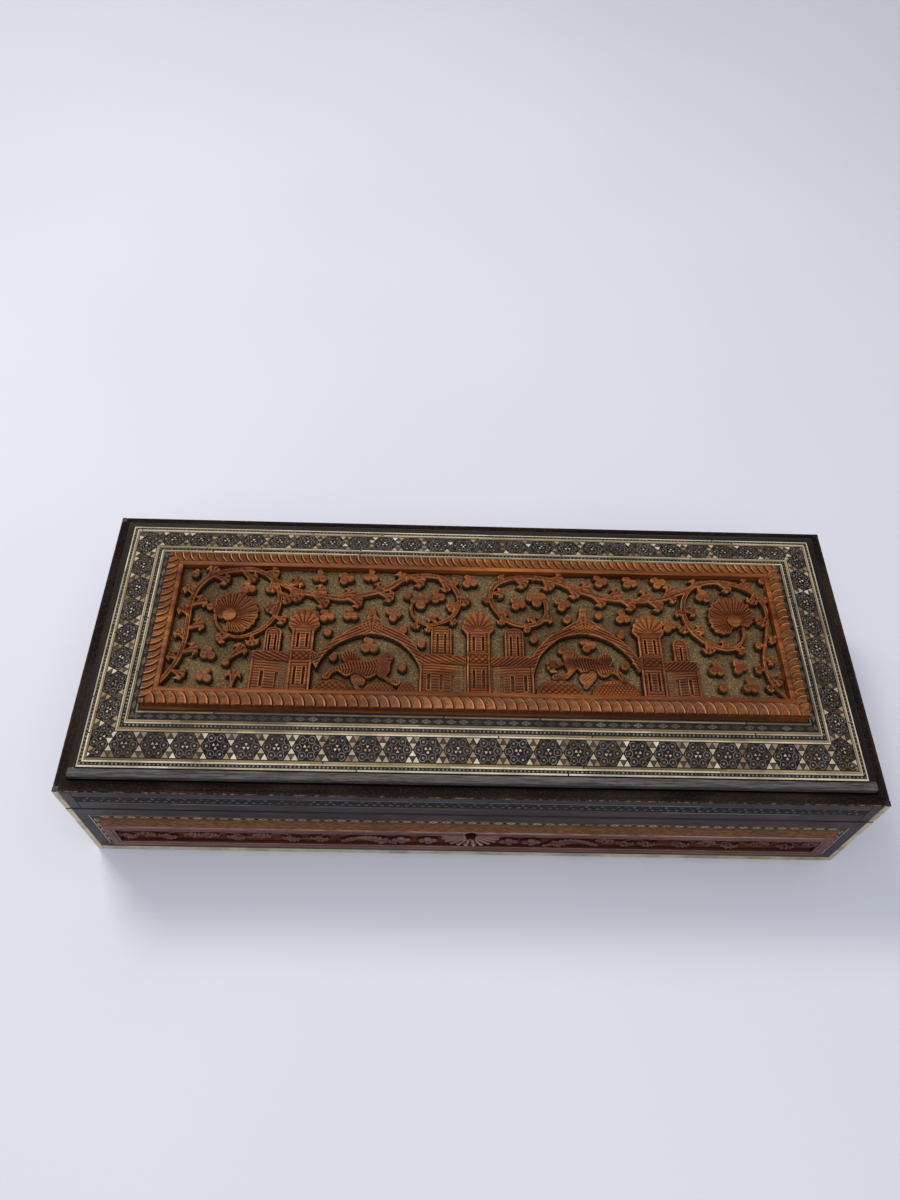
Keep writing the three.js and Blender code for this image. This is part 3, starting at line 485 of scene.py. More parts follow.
def carved_recipe(name, along, tones, ground_tones, glint, scraped):
    """For the lid and the walls. Glint is the colour of the painted highlight on sharp edges, and scraped
    stretches the marks of the plane.
    """
    recipe = Recipe(name)
    base, _, pore, patch = grain_steps(recipe, along, tones, streaks=300)
    names = ("depth", "hollow", "edge", "dust", "foot", "bevel")
    depth, hollow, edge, dust, foot, bevel = (recipe.attribute(part) for part in names)
    speck = recipe.noise(recipe.place, scale=1500, detail=4, roughness=0.7)
    stain = recipe.noise(recipe.place, scale=24, detail=4, roughness=0.6)
    base = recipe.mix(recipe.ramp(stain, (0.47, 0.0), (0.62, 0.52)), base, colour(84, 42, 35))
    across = recipe.noise(recipe.stretch(*scraped), detail=2, roughness=0.6)
    planed = recipe.ramp(across, *zip((0.3, 0.5, 0.7), PLANED))
    soiled = recipe.ramp(recipe.noise(recipe.place, scale=90, detail=4), (0.5, 0.0), (0.7, 0.55))
    planed = recipe.mix(soiled, planed, colour(76, 62, 42))
    base = recipe.mix(bevel, base, planed)
    # Painted shade: hollows and cuts darken.
    base = recipe.mix(recipe.ramp(hollow, (0.06, 0.0), (0.6, 0.88)), base, colour(46, 20, 9))
    # Painted highlight on sharp edges, broken up by a noise.
    wear_and_sheen = recipe.ramp(recipe.noise(recipe.place, scale=150, detail=3), (0.4, 0.25), (0.6, 1.0))
    bright = recipe.sum("MULTIPLY", recipe.ramp(edge, (0.1, 0.0), (0.55, 0.42), (1.0, 1.0)), wear_and_sheen)
    base = recipe.mix(bright, base, glint)
    # Painted shade on the upright walls of the cuts.
    wall = recipe.ramp(depth, (0.13, 0.0), (0.3, 0.96))
    base = recipe.mix(wall, base, colour(31, 9, 3))
    low, middle, high = ground_tones
    ground = recipe.ramp(speck, (0.3, low), (0.5, middle), (0.72, high))
    ground = recipe.mix(recipe.ramp(patch, (0.45, 0.0), (0.7, 0.6)), ground, recipe.mix(0.5, low, base))
    # Painted shade, partly dirt as well: the ground darkens at the foot of the walls.
    ground = recipe.mix(recipe.ramp(foot, (0.12, 0.0), (0.7, 0.9)), ground, colour(20, 11, 7))
    base = recipe.mix(dust, base, ground)
    rough = recipe.mix(dust, recipe.ramp(patch, (0.3, 0.36), (0.7, 0.55)), (0.95, 0.95, 0.95, 1))
    dent = pore_dents(recipe, pore, 0.03, recipe.bump(speck, 0.06))
    return recipe.finish(base, rough, dent, 0.16)


LID_WOOD = (colour(72, 31, 10), colour(122, 65, 25), colour(176, 105, 49))
LID_DUST = (colour(60, 44, 27), colour(100, 81, 54), colour(148, 127, 93))
LID_GLINT = colour(226, 152, 90)
# The mauve tint of the wall panels' tops is a painted reflection of the pale surroundings.
WALL_WOOD = (colour(76, 44, 42), colour(116, 74, 68), colour(154, 108, 100))
WALL_DUST = (colour(54, 22, 10), colour(92, 43, 19), colour(124, 64, 30))
WALL_GLINT = colour(192, 152, 136)
lid_carving = carved_recipe("carved_sandalwood_lid", "x", LID_WOOD, LID_DUST, LID_GLINT, (900, 900, 900))
wall_carving = {
    "x": carved_recipe("carved_sandalwood_long", "x", WALL_WOOD, WALL_DUST, WALL_GLINT, (420, 2600, 2600)),
    "y": carved_recipe("carved_sandalwood_short", "y", WALL_WOOD, WALL_DUST, WALL_GLINT, (2600, 420, 2600)),
}
print("carved woods ready")

# %% [markdown]
# ## Building pieces
# Each piece is made in millimetres and brought to metres when its mesh is filled.
# It rides on the body that carries it, and hides the nodes that it stands for.

# %% Tools for pieces
def piece_from(name, points, faces, body, materials, numbers, kinds=None, stands_for=()):
    """A mesh of points in millimetres. Numbers are values that the materials read at each point."""
    mesh = bpy.data.meshes.new(name)
    points = np.asarray(points, float)
    if isinstance(faces, np.ndarray):
        mesh.vertices.add(len(points))
        mesh.vertices.foreach_set("co", (points * MM).astype(np.float32).ravel())
        mesh.loops.add(faces.size)
        mesh.loops.foreach_set("vertex_index", faces.astype(np.int32).ravel())
        mesh.polygons.add(len(faces))
        starts = np.arange(0, faces.size, faces.shape[1], dtype=np.int32)
        mesh.polygons.foreach_set("loop_start", starts)
        mesh.update(calc_edges=True)
    else:
        mesh.from_pydata([tuple(p) for p in points * MM], [], faces)
    for material in materials:
        mesh.materials.append(material)
    if kinds is not None:
        mesh.polygons.foreach_set("material_index", np.asarray(kinds, np.int32))
    for label, values in numbers.items():
        store = mesh.attributes.new(label, "FLOAT", "POINT")
        store.data.foreach_set("value", np.asarray(values, np.float32).ravel())
    mesh.validate()
    piece = bpy.data.objects.new(name, mesh)
    bpy.context.scene.collection.objects.link(piece)
    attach(piece, body)
    if stands_for:
        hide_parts(*stands_for)
    return piece


def flat_map(piece, across, up, low, high):
    """A flat map for the pictures of a piece, laid along two of its axes from low to high."""
    mesh = piece.data
    co = np.zeros(len(mesh.vertices) * 3, np.float32)
    mesh.vertices.foreach_get("co", co)
    co = co.reshape(-1, 3)
    corner = np.zeros(len(mesh.loops), np.int32)
    mesh.loops.foreach_get("vertex_index", corner)
    span = (high - low) * MM
    u = (co[:, across] - low * MM) / span
    v = (co[:, up] - co[:, up].min()) / span
    layer = mesh.uv_layers.new(name="OFBake")
    layer.data.foreach_set("uv", np.stack([u, v], 1)[corner].astype(np.float32).ravel())


def soften(node, width, material, outside=None):
    """A copy of a node with its sharp edges worn round. Outside, where given, picks them by their middle."""
    source = nodes[node]
    mesh = source.data.copy()
    form = bmesh.new()
    form.from_mesh(mesh)
    bmesh.ops.remove_doubles(form, verts=form.verts, dist=1e-6)
    bmesh.ops.dissolve_limit(form, angle_limit=math.radians(1), verts=form.verts, edges=form.edges)
    sharp = [e for e in form.edges if len(e.link_faces) == 2 and e.calc_face_angle() > math.radians(25)]
    if outside:
        sharp = [e for e in sharp if outside(*(e.verts[0].co + e.verts[1].co) / 2)]
    bmesh.ops.bevel(form, geom=sharp, offset=width * MM, segments=2, profile=0.6, affect="EDGES")
    form.to_mesh(mesh)
    form.free()
    mesh.materials.clear()
    mesh.materials.append(material)
    mesh.name = "worn_" + node
    piece = bpy.data.objects.new("worn_" + node, mesh)
    bpy.context.scene.collection.objects.link(piece)
    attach(piece, source["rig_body"])
    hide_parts(node)


print("tools for pieces ready")

# %% [markdown]
# ## A carver's relief
# A relief is a field of heights: the carver keeps the drawn forms at the top
# and cuts the ground away around them.
# Each form is given by its distance to its own outline, positive inside, so edges can be rounded
# and grooves laid parallel to them.
# Grid points close to an outline are moved onto it, which keeps curved edges clean and the walls steep.

# %% The relief
def disc(X, Y, x, y, radius):
    return radius - np.hypot(X - x, Y - y)


def taper(X, Y, a, ra, b, rb):
    """A band from one point to another whose half width changes evenly."""
    dx, dy = b[0] - a[0], b[1] - a[1]
    along = np.clip(((X - a[0]) * dx + (Y - a[1]) * dy) / (dx * dx + dy * dy), 0, 1)
    return ra + (rb - ra) * along - np.hypot(X - a[0] - along * dx, Y - a[1] - along * dy)


def outline(X, Y, points):
    near = np.full(X.shape, 1e6)
    inside = np.zeros(X.shape, bool)
    for (ax, ay), (bx, by) in zip(points, points[1:] + points[:1]):
        dx, dy = bx - ax, by - ay
        along = np.clip(((X - ax) * dx + (Y - ay) * dy) / (dx * dx + dy * dy + 1e-12), 0, 1)
        near = np.minimum(near, np.hypot(X - ax - along * dx, Y - ay - along * dy))
        if ay != by:
            inside ^= ((ay > Y) != (by > Y)) & (X < dx * (Y - ay) / (by - ay) + ax)
    return np.where(inside, near, -near)


def smooth(points, steps=6):
    """Points along a smooth curve through the given ones."""
    p = np.asarray([points[0], *points, points[-1]], float)
    rows = []
    for i in range(1, len(p) - 2):
        for t in np.arange(steps) / steps:
            a = 2 * p[i]
            b = p[i + 1] - p[i - 1]
            c = 2 * p[i - 1] - 5 * p[i] + 4 * p[i + 1] - p[i + 2]
            d = -p[i - 1] + 3 * p[i] - 3 * p[i + 1] + p[i + 2]
            rows.append(0.5 * (a + b * t + c * t * t + d * t ** 3))
    rows.append(p[-2])
    return np.array(rows)


def smooth_outline(X, Y, points):
    line = smooth([*points, points[0]], 4)[:-1]
    return outline(X, Y, [tuple(p) for p in line])


def groove(value, at, half):
    """A soft cut of depth 1 where a value passes a level, as wide as half says to either side."""
    return np.exp(-(((value - at) / half) ** 2))


def hatch(X, Y, degrees, pitch, depth):
    """Parallel cuts. The direction is the one square to them."""
    turn = math.radians(degrees)
    wave = np.cos(2 * math.pi * (X * math.cos(turn) + Y * math.sin(turn)) / pitch)
    return depth * (0.5 + 0.5 * wave) ** 2


def blur(field, cells):
    """The mean of a field over a square that reaches so many cells each way."""
    wide = np.pad(field, cells + 1, mode="edge")
    total = wide.cumsum(0).cumsum(1)
    n = 2 * cells + 1
    mean = total[n:, n:] - total[:-n, n:] - total[n:, :-n] + total[:-n, :-n]
    return (mean / (n * n))[: field.shape[0], : field.shape[1]]


def cells(shape, offset=0):
    """The four corners of every cell of a grid, counted from offset."""
    index = np.arange(shape[0] * shape[1]).reshape(shape) + offset
    return index[:-1, :-1], index[:-1, 1:], index[1:, 1:], index[1:, :-1]


class Relief:
    """A carved field over a flat grid, in millimetres."""

    def __init__(self, x0, x1, y0, y1, step, ground, level):
        across, up = int(round((x1 - x0) / step)) + 1, int(round((y1 - y0) / step)) + 1
        self.X, self.Y = np.meshgrid(np.linspace(x0, x1, across), np.linspace(y0, y1, up))
        self.step, self.ground, self.level = step, ground, level
        self.snap = step * 0.5
        self.reach = np.full(self.X.shape, -9.0)
        self.height = np.full(self.X.shape, float(ground))
        # Shut scales the painted shade at the foot of the walls, and ridge adds painted highlights.
        self.shut = np.ones(self.X.shape)
        self.ridge = np.zeros(self.X.shape)

    def part(self, x0, x1, y0, y1, margin=1.4):
        """The window of the grid round a form, so that each form costs only its own area."""
        xs, ys = self.X[0], self.Y[:, 0]
        i0, i1 = np.searchsorted(xs, [x0 - margin, x1 + margin])
        j0, j1 = np.searchsorted(ys, [y0 - margin, y1 + margin])
        return slice(j0, max(j1, j0 + 1)), slice(i0, max(i1, i0 + 1))

    def grid(self, window):
        return self.X[window], self.Y[window]

    def keep(self, window, distance, drop, soft, fall=0.25):
        """Keeps a form at the top, lowered by drop, with its edge rounded over soft millimetres."""
        shoulder = fall * (1 - np.clip(distance / soft, 0, 1)) ** 2
        height = self.level - drop - shoulder
        standing = distance > -self.snap
        here = self.height[window]
        here[standing] = np.maximum(here, height)[standing]
        self.reach[window] = np.maximum(self.reach[window], distance)

    def sink(self, window, distance, floor):
        """Cuts a hole with upright walls down to a floor."""
        here = self.height[window]
        here[distance > self.snap] = floor
        self.reach[window] = np.minimum(self.reach[window], -distance)

    def score(self, window, depth):
        """Cuts lines into what already stands."""
        here = self.height[window]
        standing = self.reach[window] > 0
        here[standing] -= np.broadcast_to(depth, here.shape)[standing]

    def surface(self, roughness=0.12):
        """Points, triangles and the numbers that the material reads."""
        standing = self.reach > -self.snap
        shape = self.X.shape
        coarse = blur(chance.standard_normal(shape), 4)
        fine = blur(chance.standard_normal(shape), 1)
        rough = roughness * (coarse / coarse.std() + 0.8 * fine / fine.std())
        tooled = self.height + np.clip(rough, -2.2 * roughness, 2.2 * roughness)
        height = np.where(standing, self.height, tooled)
        slope_y, slope_x = np.gradient(self.reach, self.step)
        size = np.hypot(slope_x, slope_y) + 1e-9
        near = np.abs(self.reach) < self.snap
        near[[0, -1], :] = False
        near[:, [0, -1]] = False
        shift = np.where(near, -self.reach, 0) * 0.95
        X = self.X + shift * slope_x / size
        Y = self.Y + shift * slope_y / size
        a, b, c, d = cells(shape)
        lean = np.abs(height[:-1, :-1] - height[1:, 1:]) < np.abs(height[:-1, 1:] - height[1:, :-1])
        first = np.where(lean[..., None], np.stack([a, b, c], -1), np.stack([a, b, d], -1))
        second = np.where(lean[..., None], np.stack([a, c, d], -1), np.stack([b, c, d], -1))
        faces = np.concatenate([first.reshape(-1, 3), second.reshape(-1, 3)])
        bend = blur(height, 2) - height
        # Hollow, depth and foot drive painted shade in the material, foot partly dirt as well, and edge a
        # painted highlight.
        numbers = {
            "depth": np.where(standing, 0.0, 1.0),
            "hollow": np.where(standing, np.clip(bend / 0.16, 0, 1), 0),
            "edge": np.where(standing, np.maximum(0.6 * np.clip(-bend / 0.75, 0, 1), self.ridge), 0),
            "dust": np.where(standing, np.clip((self.level - height - 1.3) / 1.6, 0, 0.75), 1.0),
            "foot": np.where(standing, 0.0, self.shut * np.exp(np.minimum(self.reach, 0) / 0.62)),
            "bevel": np.zeros(shape),
        }
        return X, Y, height, faces, numbers


print("relief tools ready")

# %% [markdown]
# ## Leaves and flowers
# The scrolling stems carry small leaves of three round lobes, and loose flowers of three lobes
# fill the ground.
# Each lobe is a low ball, and where two meet they leave a crease.

# %% Leaves, flowers, stems and shells
def pellets(relief, balls, sink=0.0):
    """Round lobes, a little hollow in the middle. Each is (x, y, radius)."""
    for x, y, radius in balls:
        w = relief.part(x - radius, x + radius, y - radius, y + radius)
        distance = disc(*relief.grid(w), x, y, radius)
        relief.keep(w, distance, sink + 0.2 * np.clip(distance / radius, 0, 1) ** 2, soft=0.5, fall=0.5)


def leaf(relief, base_x, base_y, tip_x, tip_y, sink=0.15):
    """A leaf that flares like a trumpet to three round lobes, with the outer corners hooked back."""
    length = math.hypot(tip_x - base_x, tip_y - base_y) + 0.4
    way = math.atan2(tip_y - base_y, tip_x - base_x) + chance.uniform(-0.08, 0.08)
    size = min(max(length / 4.4, 0.62), 1.25)
    w = relief.part(min(base_x, tip_x), max(base_x, tip_x), min(base_y, tip_y), max(base_y, tip_y), 3.2)
    X, Y = relief.grid(w)
    along = (X - base_x) * math.cos(way) + (Y - base_y) * math.sin(way)
    aside = (Y - base_y) * math.cos(way) - (X - base_x) * math.sin(way)
    throat = 0.45 + 1.35 * size * np.clip(along / length, 0, 1) ** 2 - np.abs(aside)
    horn = np.minimum(np.minimum(throat, length - 0.8 * size - along), along + 0.4)
    lobes = [
        disc(along, aside, length - back * size, side * size, wide * size)
        for back, side, wide in ((0.95, -1.2, 0.78), (0.7, 0, 0.88), (0.95, 1.2, 0.78))
    ]
    for side in (-1, 1):
        corner = (length - 1.2 * size, side * 1.5 * size)
        barb = (length - 2.0 * size, side * 2.05 * size)
        horn = np.maximum(horn, taper(along, aside, corner, 0.4 * size, barb, 0.16 * size))
    ordered = np.sort(lobes, axis=0)
    crease = 0.5 * groove(ordered[2] - ordered[1], 0, 0.28 * size) * np.clip(along / length * 2.2 - 1, 0, 1)
    vein = 0.3 * groove(np.abs(aside), 0.42 * size * along / length, 0.14) * np.clip(along / length * 3, 0, 1)
    relief.keep(w, np.maximum(horn, ordered[2]), sink + np.maximum(crease, vein), soft=0.5, fall=0.45)


def flower(relief, x, y, size, lean):
    """Two round lobes under a narrower one that leans over."""
    sink = chance.uniform(0.0, 0.28)

    def spot(degrees, away):
        angle = math.radians(degrees + lean)
        return x + away * size * math.cos(angle), y + away * size * math.sin(angle)

    bend = chance.choice((-14, 10, 26))
    foot, neck = spot(112, 0.2), spot(112, 1.05)
    w = relief.part(x - 3 * size, x + 3 * size, y - 3 * size, y + 3 * size)
    throat = taper(*relief.grid(w), foot, 0.6 * size, neck, 0.72 * size)
    relief.keep(w, throat, sink + 0.12, soft=0.3, fall=0.34)
    balls = [(*spot(112 + bend, 1.55), 0.66 * size)]
    for degrees, away, radius in ((228, 1.0, 1.02), (348, 1.0, 0.98)):
        balls.append((*spot(degrees, away), radius * size))
    pellets(relief, balls, sink)


def stem(relief, points, wide=0.84, thin=0.45, sink=0.15):
    """A stem of three strands that tapers from its middle to both ends."""
    line = smooth(points)
    w = relief.part(line[:, 0].min(), line[:, 0].max(), line[:, 1].min(), line[:, 1].max())
    X, Y = relief.grid(w)
    near, aside = np.full(X.shape, -9.0), np.zeros(X.shape)
    last = len(line) - 1
    for i, (a, b) in enumerate(zip(line[:-1], line[1:])):
        share = math.sin(math.pi * min(i / last * 1.15 + 0.06, 1)) ** 0.5
        half = thin + (wide - thin) * share
        reach = taper(X, Y, a, half, b, half)
        closer = reach > near
        near = np.where(closer, reach, near)
        way = (b - a) / np.hypot(*(b - a))
        aside = np.where(closer, (Y - a[1]) * way[0] - (X - a[0]) * way[1], aside)
    strands = 0.42 * (groove(aside, 0.3, 0.16) + groove(aside, -0.3, 0.16))
    relief.keep(w, near, sink + strands, soft=0.5, fall=0.4)


def shell(relief, x, y, table):
    """A ribbed shell flower round a flat core. The table gives its reach at each direction, in degrees."""
    core = 2.45
    reach = max(r for _, r in table)
    w = relief.part(x - reach, x + reach, y - reach, y + reach)
    X, Y = relief.grid(w)
    turn = np.degrees(np.arctan2(Y - y, X - x))
    away = np.hypot(X - x, Y - y)
    span = np.interp(turn, *zip(*table))
    scallop = np.abs(np.cos(np.radians(turn) * 11))
    edge = span - 0.5 + 0.6 * scallop - away
    rib = np.abs(np.cos(np.radians(turn) * 22))
    slope = np.clip(1 - (away - core) / (0.8 * (reach - core)), 0, 1)
    fluted = 0.5 * (1 - rib) * np.clip((away - core) / 1.2, 0, 1) + 0.45 * (1 - scallop) * (1 - slope)
    relief.keep(w, edge, 0.05 + fluted + 0.9 * slope ** 1.3, soft=0.5, fall=0.35)
    relief.keep(w, core - away, 0.1 * np.clip((core - away) / core, 0, 1), soft=0.25, fall=0.25)


print("leaf, flower, stem and shell ready")

# %% [markdown]
# ## Towers, houses, arches and the running cats
# Under the scrolls stands a row of domed towers and small houses,
# and a big cat runs under each of two arches.
# Walls are hatched like bricks, roofs are cut aslant, and the windows go right down to the ground.

# %% Buildings and animals
WINDOW_DEPTH = 2.9


def box_distance(X, Y, x0, x1, y0, y1):
    return np.minimum(np.minimum(X - x0, x1 - X), np.minimum(Y - y0, y1 - Y))


def bricks(X, Y):
    return hatch(X, Y, 90, 1.1, 0.36)


def lattice(X, Y):
    return hatch(X, Y, 45, 1.6, 0.5) + hatch(X, Y, -45, 1.6, 0.5)


def slats(X, Y):
    return hatch(X, Y, 58, 1.15, 0.5)


def dashes(X, Y):
    """Rows of short upright cuts, each row shifted by half a step."""
    row = np.floor(Y / 1.05)
    phase = (X / 1.3 + 0.5 * (row % 2)) % 1.0
    return 0.35 * groove(phase, 0.5, 0.16) + hatch(X, Y, 90, 1.05, 0.22)


def blank(X, Y):
    return 0 * X


def framed(edge, rim, pattern, line):
    """A pattern inside a plain rim, with a fine cut between them."""
    return pattern * np.clip((edge - rim) / 0.15, 0, 1) + line * groove(edge, rim, 0.16)


def block(relief, x0, x1, y0, y1, drop=0.15, pattern=bricks, rim=0.9):
    """A wall with a plain rim at each side of its pattern."""
    w = relief.part(x0, x1, y0, y1)
    X, Y = relief.grid(w)
    edge = box_distance(X, Y, x0, x1, y0, y1)
    cut = framed(np.minimum(X - x0, x1 - X), rim, pattern(X, Y), 0.5)
    relief.keep(w, edge, drop + cut, soft=0.3, fall=0.3)


def window(relief, x0, x1, y0, y1):
    w = relief.part(x0, x1, y0, y1)
    X, Y = relief.grid(w)
    edge = box_distance(X, Y, x0, x1, y0, y1)
    relief.sink(w, edge, relief.level - WINDOW_DEPTH)
    # Weakens the painted shade at the foot of the walls on the window floors.
    inside = relief.shut[w]
    inside[edge > -0.2] = 0.25


def dome(relief, x, foot, base, half, top):
    """A fluted dome that swells past its foot, with a lobed crown."""
    w = relief.part(x - half, x + half, foot - 1, top)
    X, Y = relief.X[w] - x, relief.Y[w] - foot
    rise = top - foot
    turn = np.arctan2(Y - 0.6, X)
    flute = np.abs(np.cos(turn * 9))
    round_part = (0.94 + 0.07 * flute - np.hypot(X / half, (Y - 1.6) / (rise - 1.6))) * min(half, rise)
    swell = base + (half - base) * np.clip(Y / 1.9, 0, 1)
    skirt = np.minimum(swell - np.abs(X), np.minimum(Y + 0.3, 2.2 - Y))
    edge = np.maximum(np.where(Y > 1.2, round_part, -9), skirt)
    away = np.hypot(X, Y - 0.6)
    cut = 0.5 * (1 - flute) * np.clip((away - 0.6) / 1.6, 0, 1) * np.clip(Y / 1.5, 0, 1)
    relief.keep(w, edge, cut + 0.25 * groove(Y, 0.5, 0.16), soft=0.4, fall=0.35)


def tower(relief, x, half, foot, peg):
    """Two storeys with a lattice band between, under a dome. Peg is the side of its bracket, or 0."""
    band_foot, band_head = -14.2, -10.6
    block(relief, x - half, x + half, foot, band_foot)
    block(relief, x - half, x + half, band_head, -0.8)
    if peg:
        points = [(x + peg * half, -9.9), (x + peg * (half + 3.2), -12.6), (x + peg * half, -14.6)]
        w = relief.part(x - half - 3.2, x + half + 3.2, -14.6, -9.9)
        X, Y = relief.grid(w)
        relief.keep(w, outline(X, Y, points), 0.15 + hatch(X, Y, 90 - peg * 62, 0.9, 0.35), soft=0.3)
    block(relief, x - half, x + half, band_foot, band_head, 0.0, lattice)
    for low in (-15.1, -10.5, -1.5):
        block(relief, x - half - 0.2, x + half + 0.2, low, low + 0.75, 0.0, blank, 0)
    for side in (-1, 1):
        middle = x + side * half * 0.42
        window(relief, middle - 0.5, middle + 0.5, -8.9, -2.8)
        window(relief, middle - 0.5, middle + 0.5, -24.2, -16.8)
    dome(relief, x, -1.2, half + 0.4, half + 1.75, 8.0)


def house(relief, x0, x1, eaves, windows, turret, foot, near):
    """A wall under a slatted roof, with a round-headed turret behind. It sinks away from its near side."""
    w = relief.part(x0, x1, foot, eaves)
    X, Y = relief.grid(w)
    away = np.clip((x1 - X if near > 0 else X - x0) / (x1 - x0), 0, 1)
    eave = eaves - 4.3 + 1.2 * away
    sides = np.minimum(X - x0, x1 - X)
    wall = 0.35 + 2.3 * away ** 2 + framed(sides, 0.9, bricks(X, Y), 0.4)
    relief.keep(w, np.minimum(sides, np.minimum(Y - foot, eave + 0.4 - Y)), wall, soft=0.3, fall=0.3)
    roof = 0.1 + 1.0 * away ** 2 + slats(-near * X, Y + near * 2.5 * away) * np.clip((eaves - Y) / 0.6, 0, 1)
    relief.keep(w, np.minimum(sides, np.minimum(Y - eave, eaves - Y)), roof, soft=0.4, fall=0.4)
    for middle in windows:
        window(relief, middle - 0.6, middle + 0.6, foot + 1.3, foot + 7.8)
    t0, t1, top = turret
    half = (t1 - t0) / 2
    w = relief.part(t0, t1, eaves - 0.5, top)
    X, Y = relief.grid(w)
    head = 1 - np.hypot((X - t0 - half) / half, np.maximum(Y - top + 2.2, 0) / 2.2)
    edge = np.minimum(head * half, Y - eaves + 0.5)
    relief.keep(w, edge, 0.3 + framed(edge, 0.7, bricks(X, Y), 0.4), soft=0.35, fall=0.35)
    for share in ((0,) if half < 2.6 else (-0.38, 0.38)):
        middle = t0 + half + share * half
        window(relief, middle - 0.45, middle + 0.45, eaves + 0.3, top - 3.2)


def arch(relief, inner, outer):
    """A hatched arch with a fan at its crown and two balls on top."""
    points = [*smooth(inner, 4), *smooth(outer, 4)[::-1]]
    xs, ys = [p[0] for p in points], [p[1] for p in points]
    w = relief.part(min(xs), max(xs), min(ys), max(ys) + 3)
    X, Y = relief.grid(w)
    band = outline(X, Y, [tuple(p) for p in points])
    x, crown = max(outer, key=lambda p: p[1])
    slant = np.where(X < x, hatch(X, Y, 117, 1.15, 0.46), hatch(X, Y, 63, 1.15, 0.46))
    relief.keep(w, band, 0.05 + slant, soft=0.3, fall=0.25)
    centre = max(p[1] for p in inner) + 0.4
    fan = smooth_outline(X, Y, [
        (x - 5.2, centre + 1.9), (x - 2.6, centre + 4.2), (x - 1.0, crown + 0.6), (x + 1.0, crown + 0.6),
        (x + 2.6, centre + 4.2), (x + 5.2, centre + 1.9), (x, centre - 0.2),
    ])
    ray = 0.5 * (1 - np.abs(np.cos(np.arctan2(Y - centre + 1.2, X - x) * 11)))
    relief.keep(w, fan, ray, soft=0.35, fall=0.3)
    pellets(relief, [(x, crown + 2.4, 1.15), (x, crown + 0.9, 1.35)], 0.0)


def mound(relief, x, half, top, foot, pattern):
    """A low hill that sinks into the ground at its top."""
    w = relief.part(x - half, x + half, foot, top)
    X, Y = relief.grid(w)
    arc = (1 - np.hypot((X - x) / half, (Y - foot) / (top - foot))) * (top - foot)
    edge = np.minimum(arc, Y - foot + 0.5)
    inner = np.clip((arc - 0.9) / 0.2, 0, 1)
    spokes = (1 - inner) * hatch(np.arctan2(Y - foot, X - x) * half, Y * 0, 0, 0.85, 0.3)
    fallen = 1.5 * np.clip((Y - foot - 1.2) / (top - foot), 0, 1)
    relief.keep(w, edge, 0.35 + fallen + pattern(X, Y) * inner + spokes, soft=1.2, fall=0.8)


def cat(relief, body, legs, head, tail, way):
    """A striped cat at full stretch. Way is 1 where it runs to the right."""
    xs, ys = zip(*body, *legs, *tail)
    w = relief.part(min(xs), max(xs), min(ys), max(ys))
    X, Y = relief.grid(w)
    far_legs = smooth_outline(X, Y, legs)
    relief.keep(w, far_legs, 1.5 + hatch(X, Y, 90 - way * 40, 0.9, 0.2), soft=0.7, fall=0.5)
    plume = smooth_outline(X, Y, tail)
    tx, ty = tail[0]
    comb = 0.45 * (1 - np.abs(np.cos(np.arctan2(Y - ty, X - tx) * 13)))
    relief.keep(w, plume, 0.25 + comb, soft=0.35, fall=0.3)
    edge = smooth_outline(X, Y, body)
    hx, hy = head
    middle = hy - 3.6 - 0.16 * np.abs(X - hx)
    angle = np.radians(np.where(Y > middle, way * 18, -way * 18))
    wave = np.cos(2 * math.pi * (X * np.cos(angle) + (Y - middle) * np.sin(angle)) / 0.98)
    torso = np.clip((np.abs(X - hx) - 1.8) / 2, 0, 1)
    stripes = 0.5 * (0.5 + 0.5 * wave) ** 2 * np.clip(edge / 0.5, 0, 1) * torso
    mane = hatch(X - hx, Y - hy, 90 + way * 35, 0.8, 0.3) * (1 - torso) * np.clip((edge - 0.5) / 0.3, 0, 1)
    belly = 0.35 * groove(Y - middle, 0, 0.16) * torso * np.clip((edge - 1) / 0.3, 0, 1)
    relief.keep(w, edge, 0.05 + stripes + mane + belly, soft=1.1, fall=0.8)
    pellets(relief, [(hx + 0.9 * way, hy - 0.1, 0.62)], -0.12)
    relief.score(w, 0.5 * groove(np.hypot(X - hx - 0.9 * way, Y - hy + 0.1), 0.3, 0.16))
    jaw = taper(X, Y, (hx + 2.6 * way, hy - 1.0), 0.32, (hx + 0.7 * way, hy - 1.5), 0.1)
    relief.score(w, 0.9 * np.clip((jaw + 0.1) / 0.2, 0, 1))


print("buildings and animals ready")

# %% [markdown]
# ## The scene on the lid
# The places below are in millimetres on the panel, X along the box and Y towards the back.
# Two long stems grow out of the lower corners, loop round a shell each and wander along the top.

# %% Places on the lid
STEM_LEFT = [
    (-113.2, -25.8), (-110, -21.2), (-106.8, -14.4), (-105.6, -6), (-105.8, 0.4), (-106, 6.8),
    (-105.6, 12.4), (-103.8, 17.6), (-100.4, 21.6), (-95.6, 24), (-90, 25), (-84.4, 25.2), (-80.4, 23.8),
    (-77.2, 21.2), (-74.8, 18), (-73.4, 13.2), (-73.6, 7.6), (-75.2, 2.8), (-78.4, -1.2), (-82.8, -4),
    (-87.6, -4.8), (-92, -3.2), (-94.6, -0.4), (-95.9, 2.4), (-96.3, 5),
]
STEM_LEFT_TOP = [
    (-81.6, 24.6), (-77.2, 21.8), (-73.2, 19), (-69.2, 16.8), (-62.8, 14.8), (-55.6, 13.6), (-50, 13),
    (-45.2, 14), (-38, 16), (-32.4, 18.4), (-28.4, 21.6), (-24.4, 23.6), (-18.8, 24.2), (-14, 23.6),
    (-10, 21.2), (-7.2, 17.2), (-6.2, 12.4), (-7.6, 7.6), (-10.8, 4.2), (-15.6, 2.2), (-19.6, 2.6),
    (-22.8, 5), (-24.2, 8.4), (-23.9, 11.2),
]
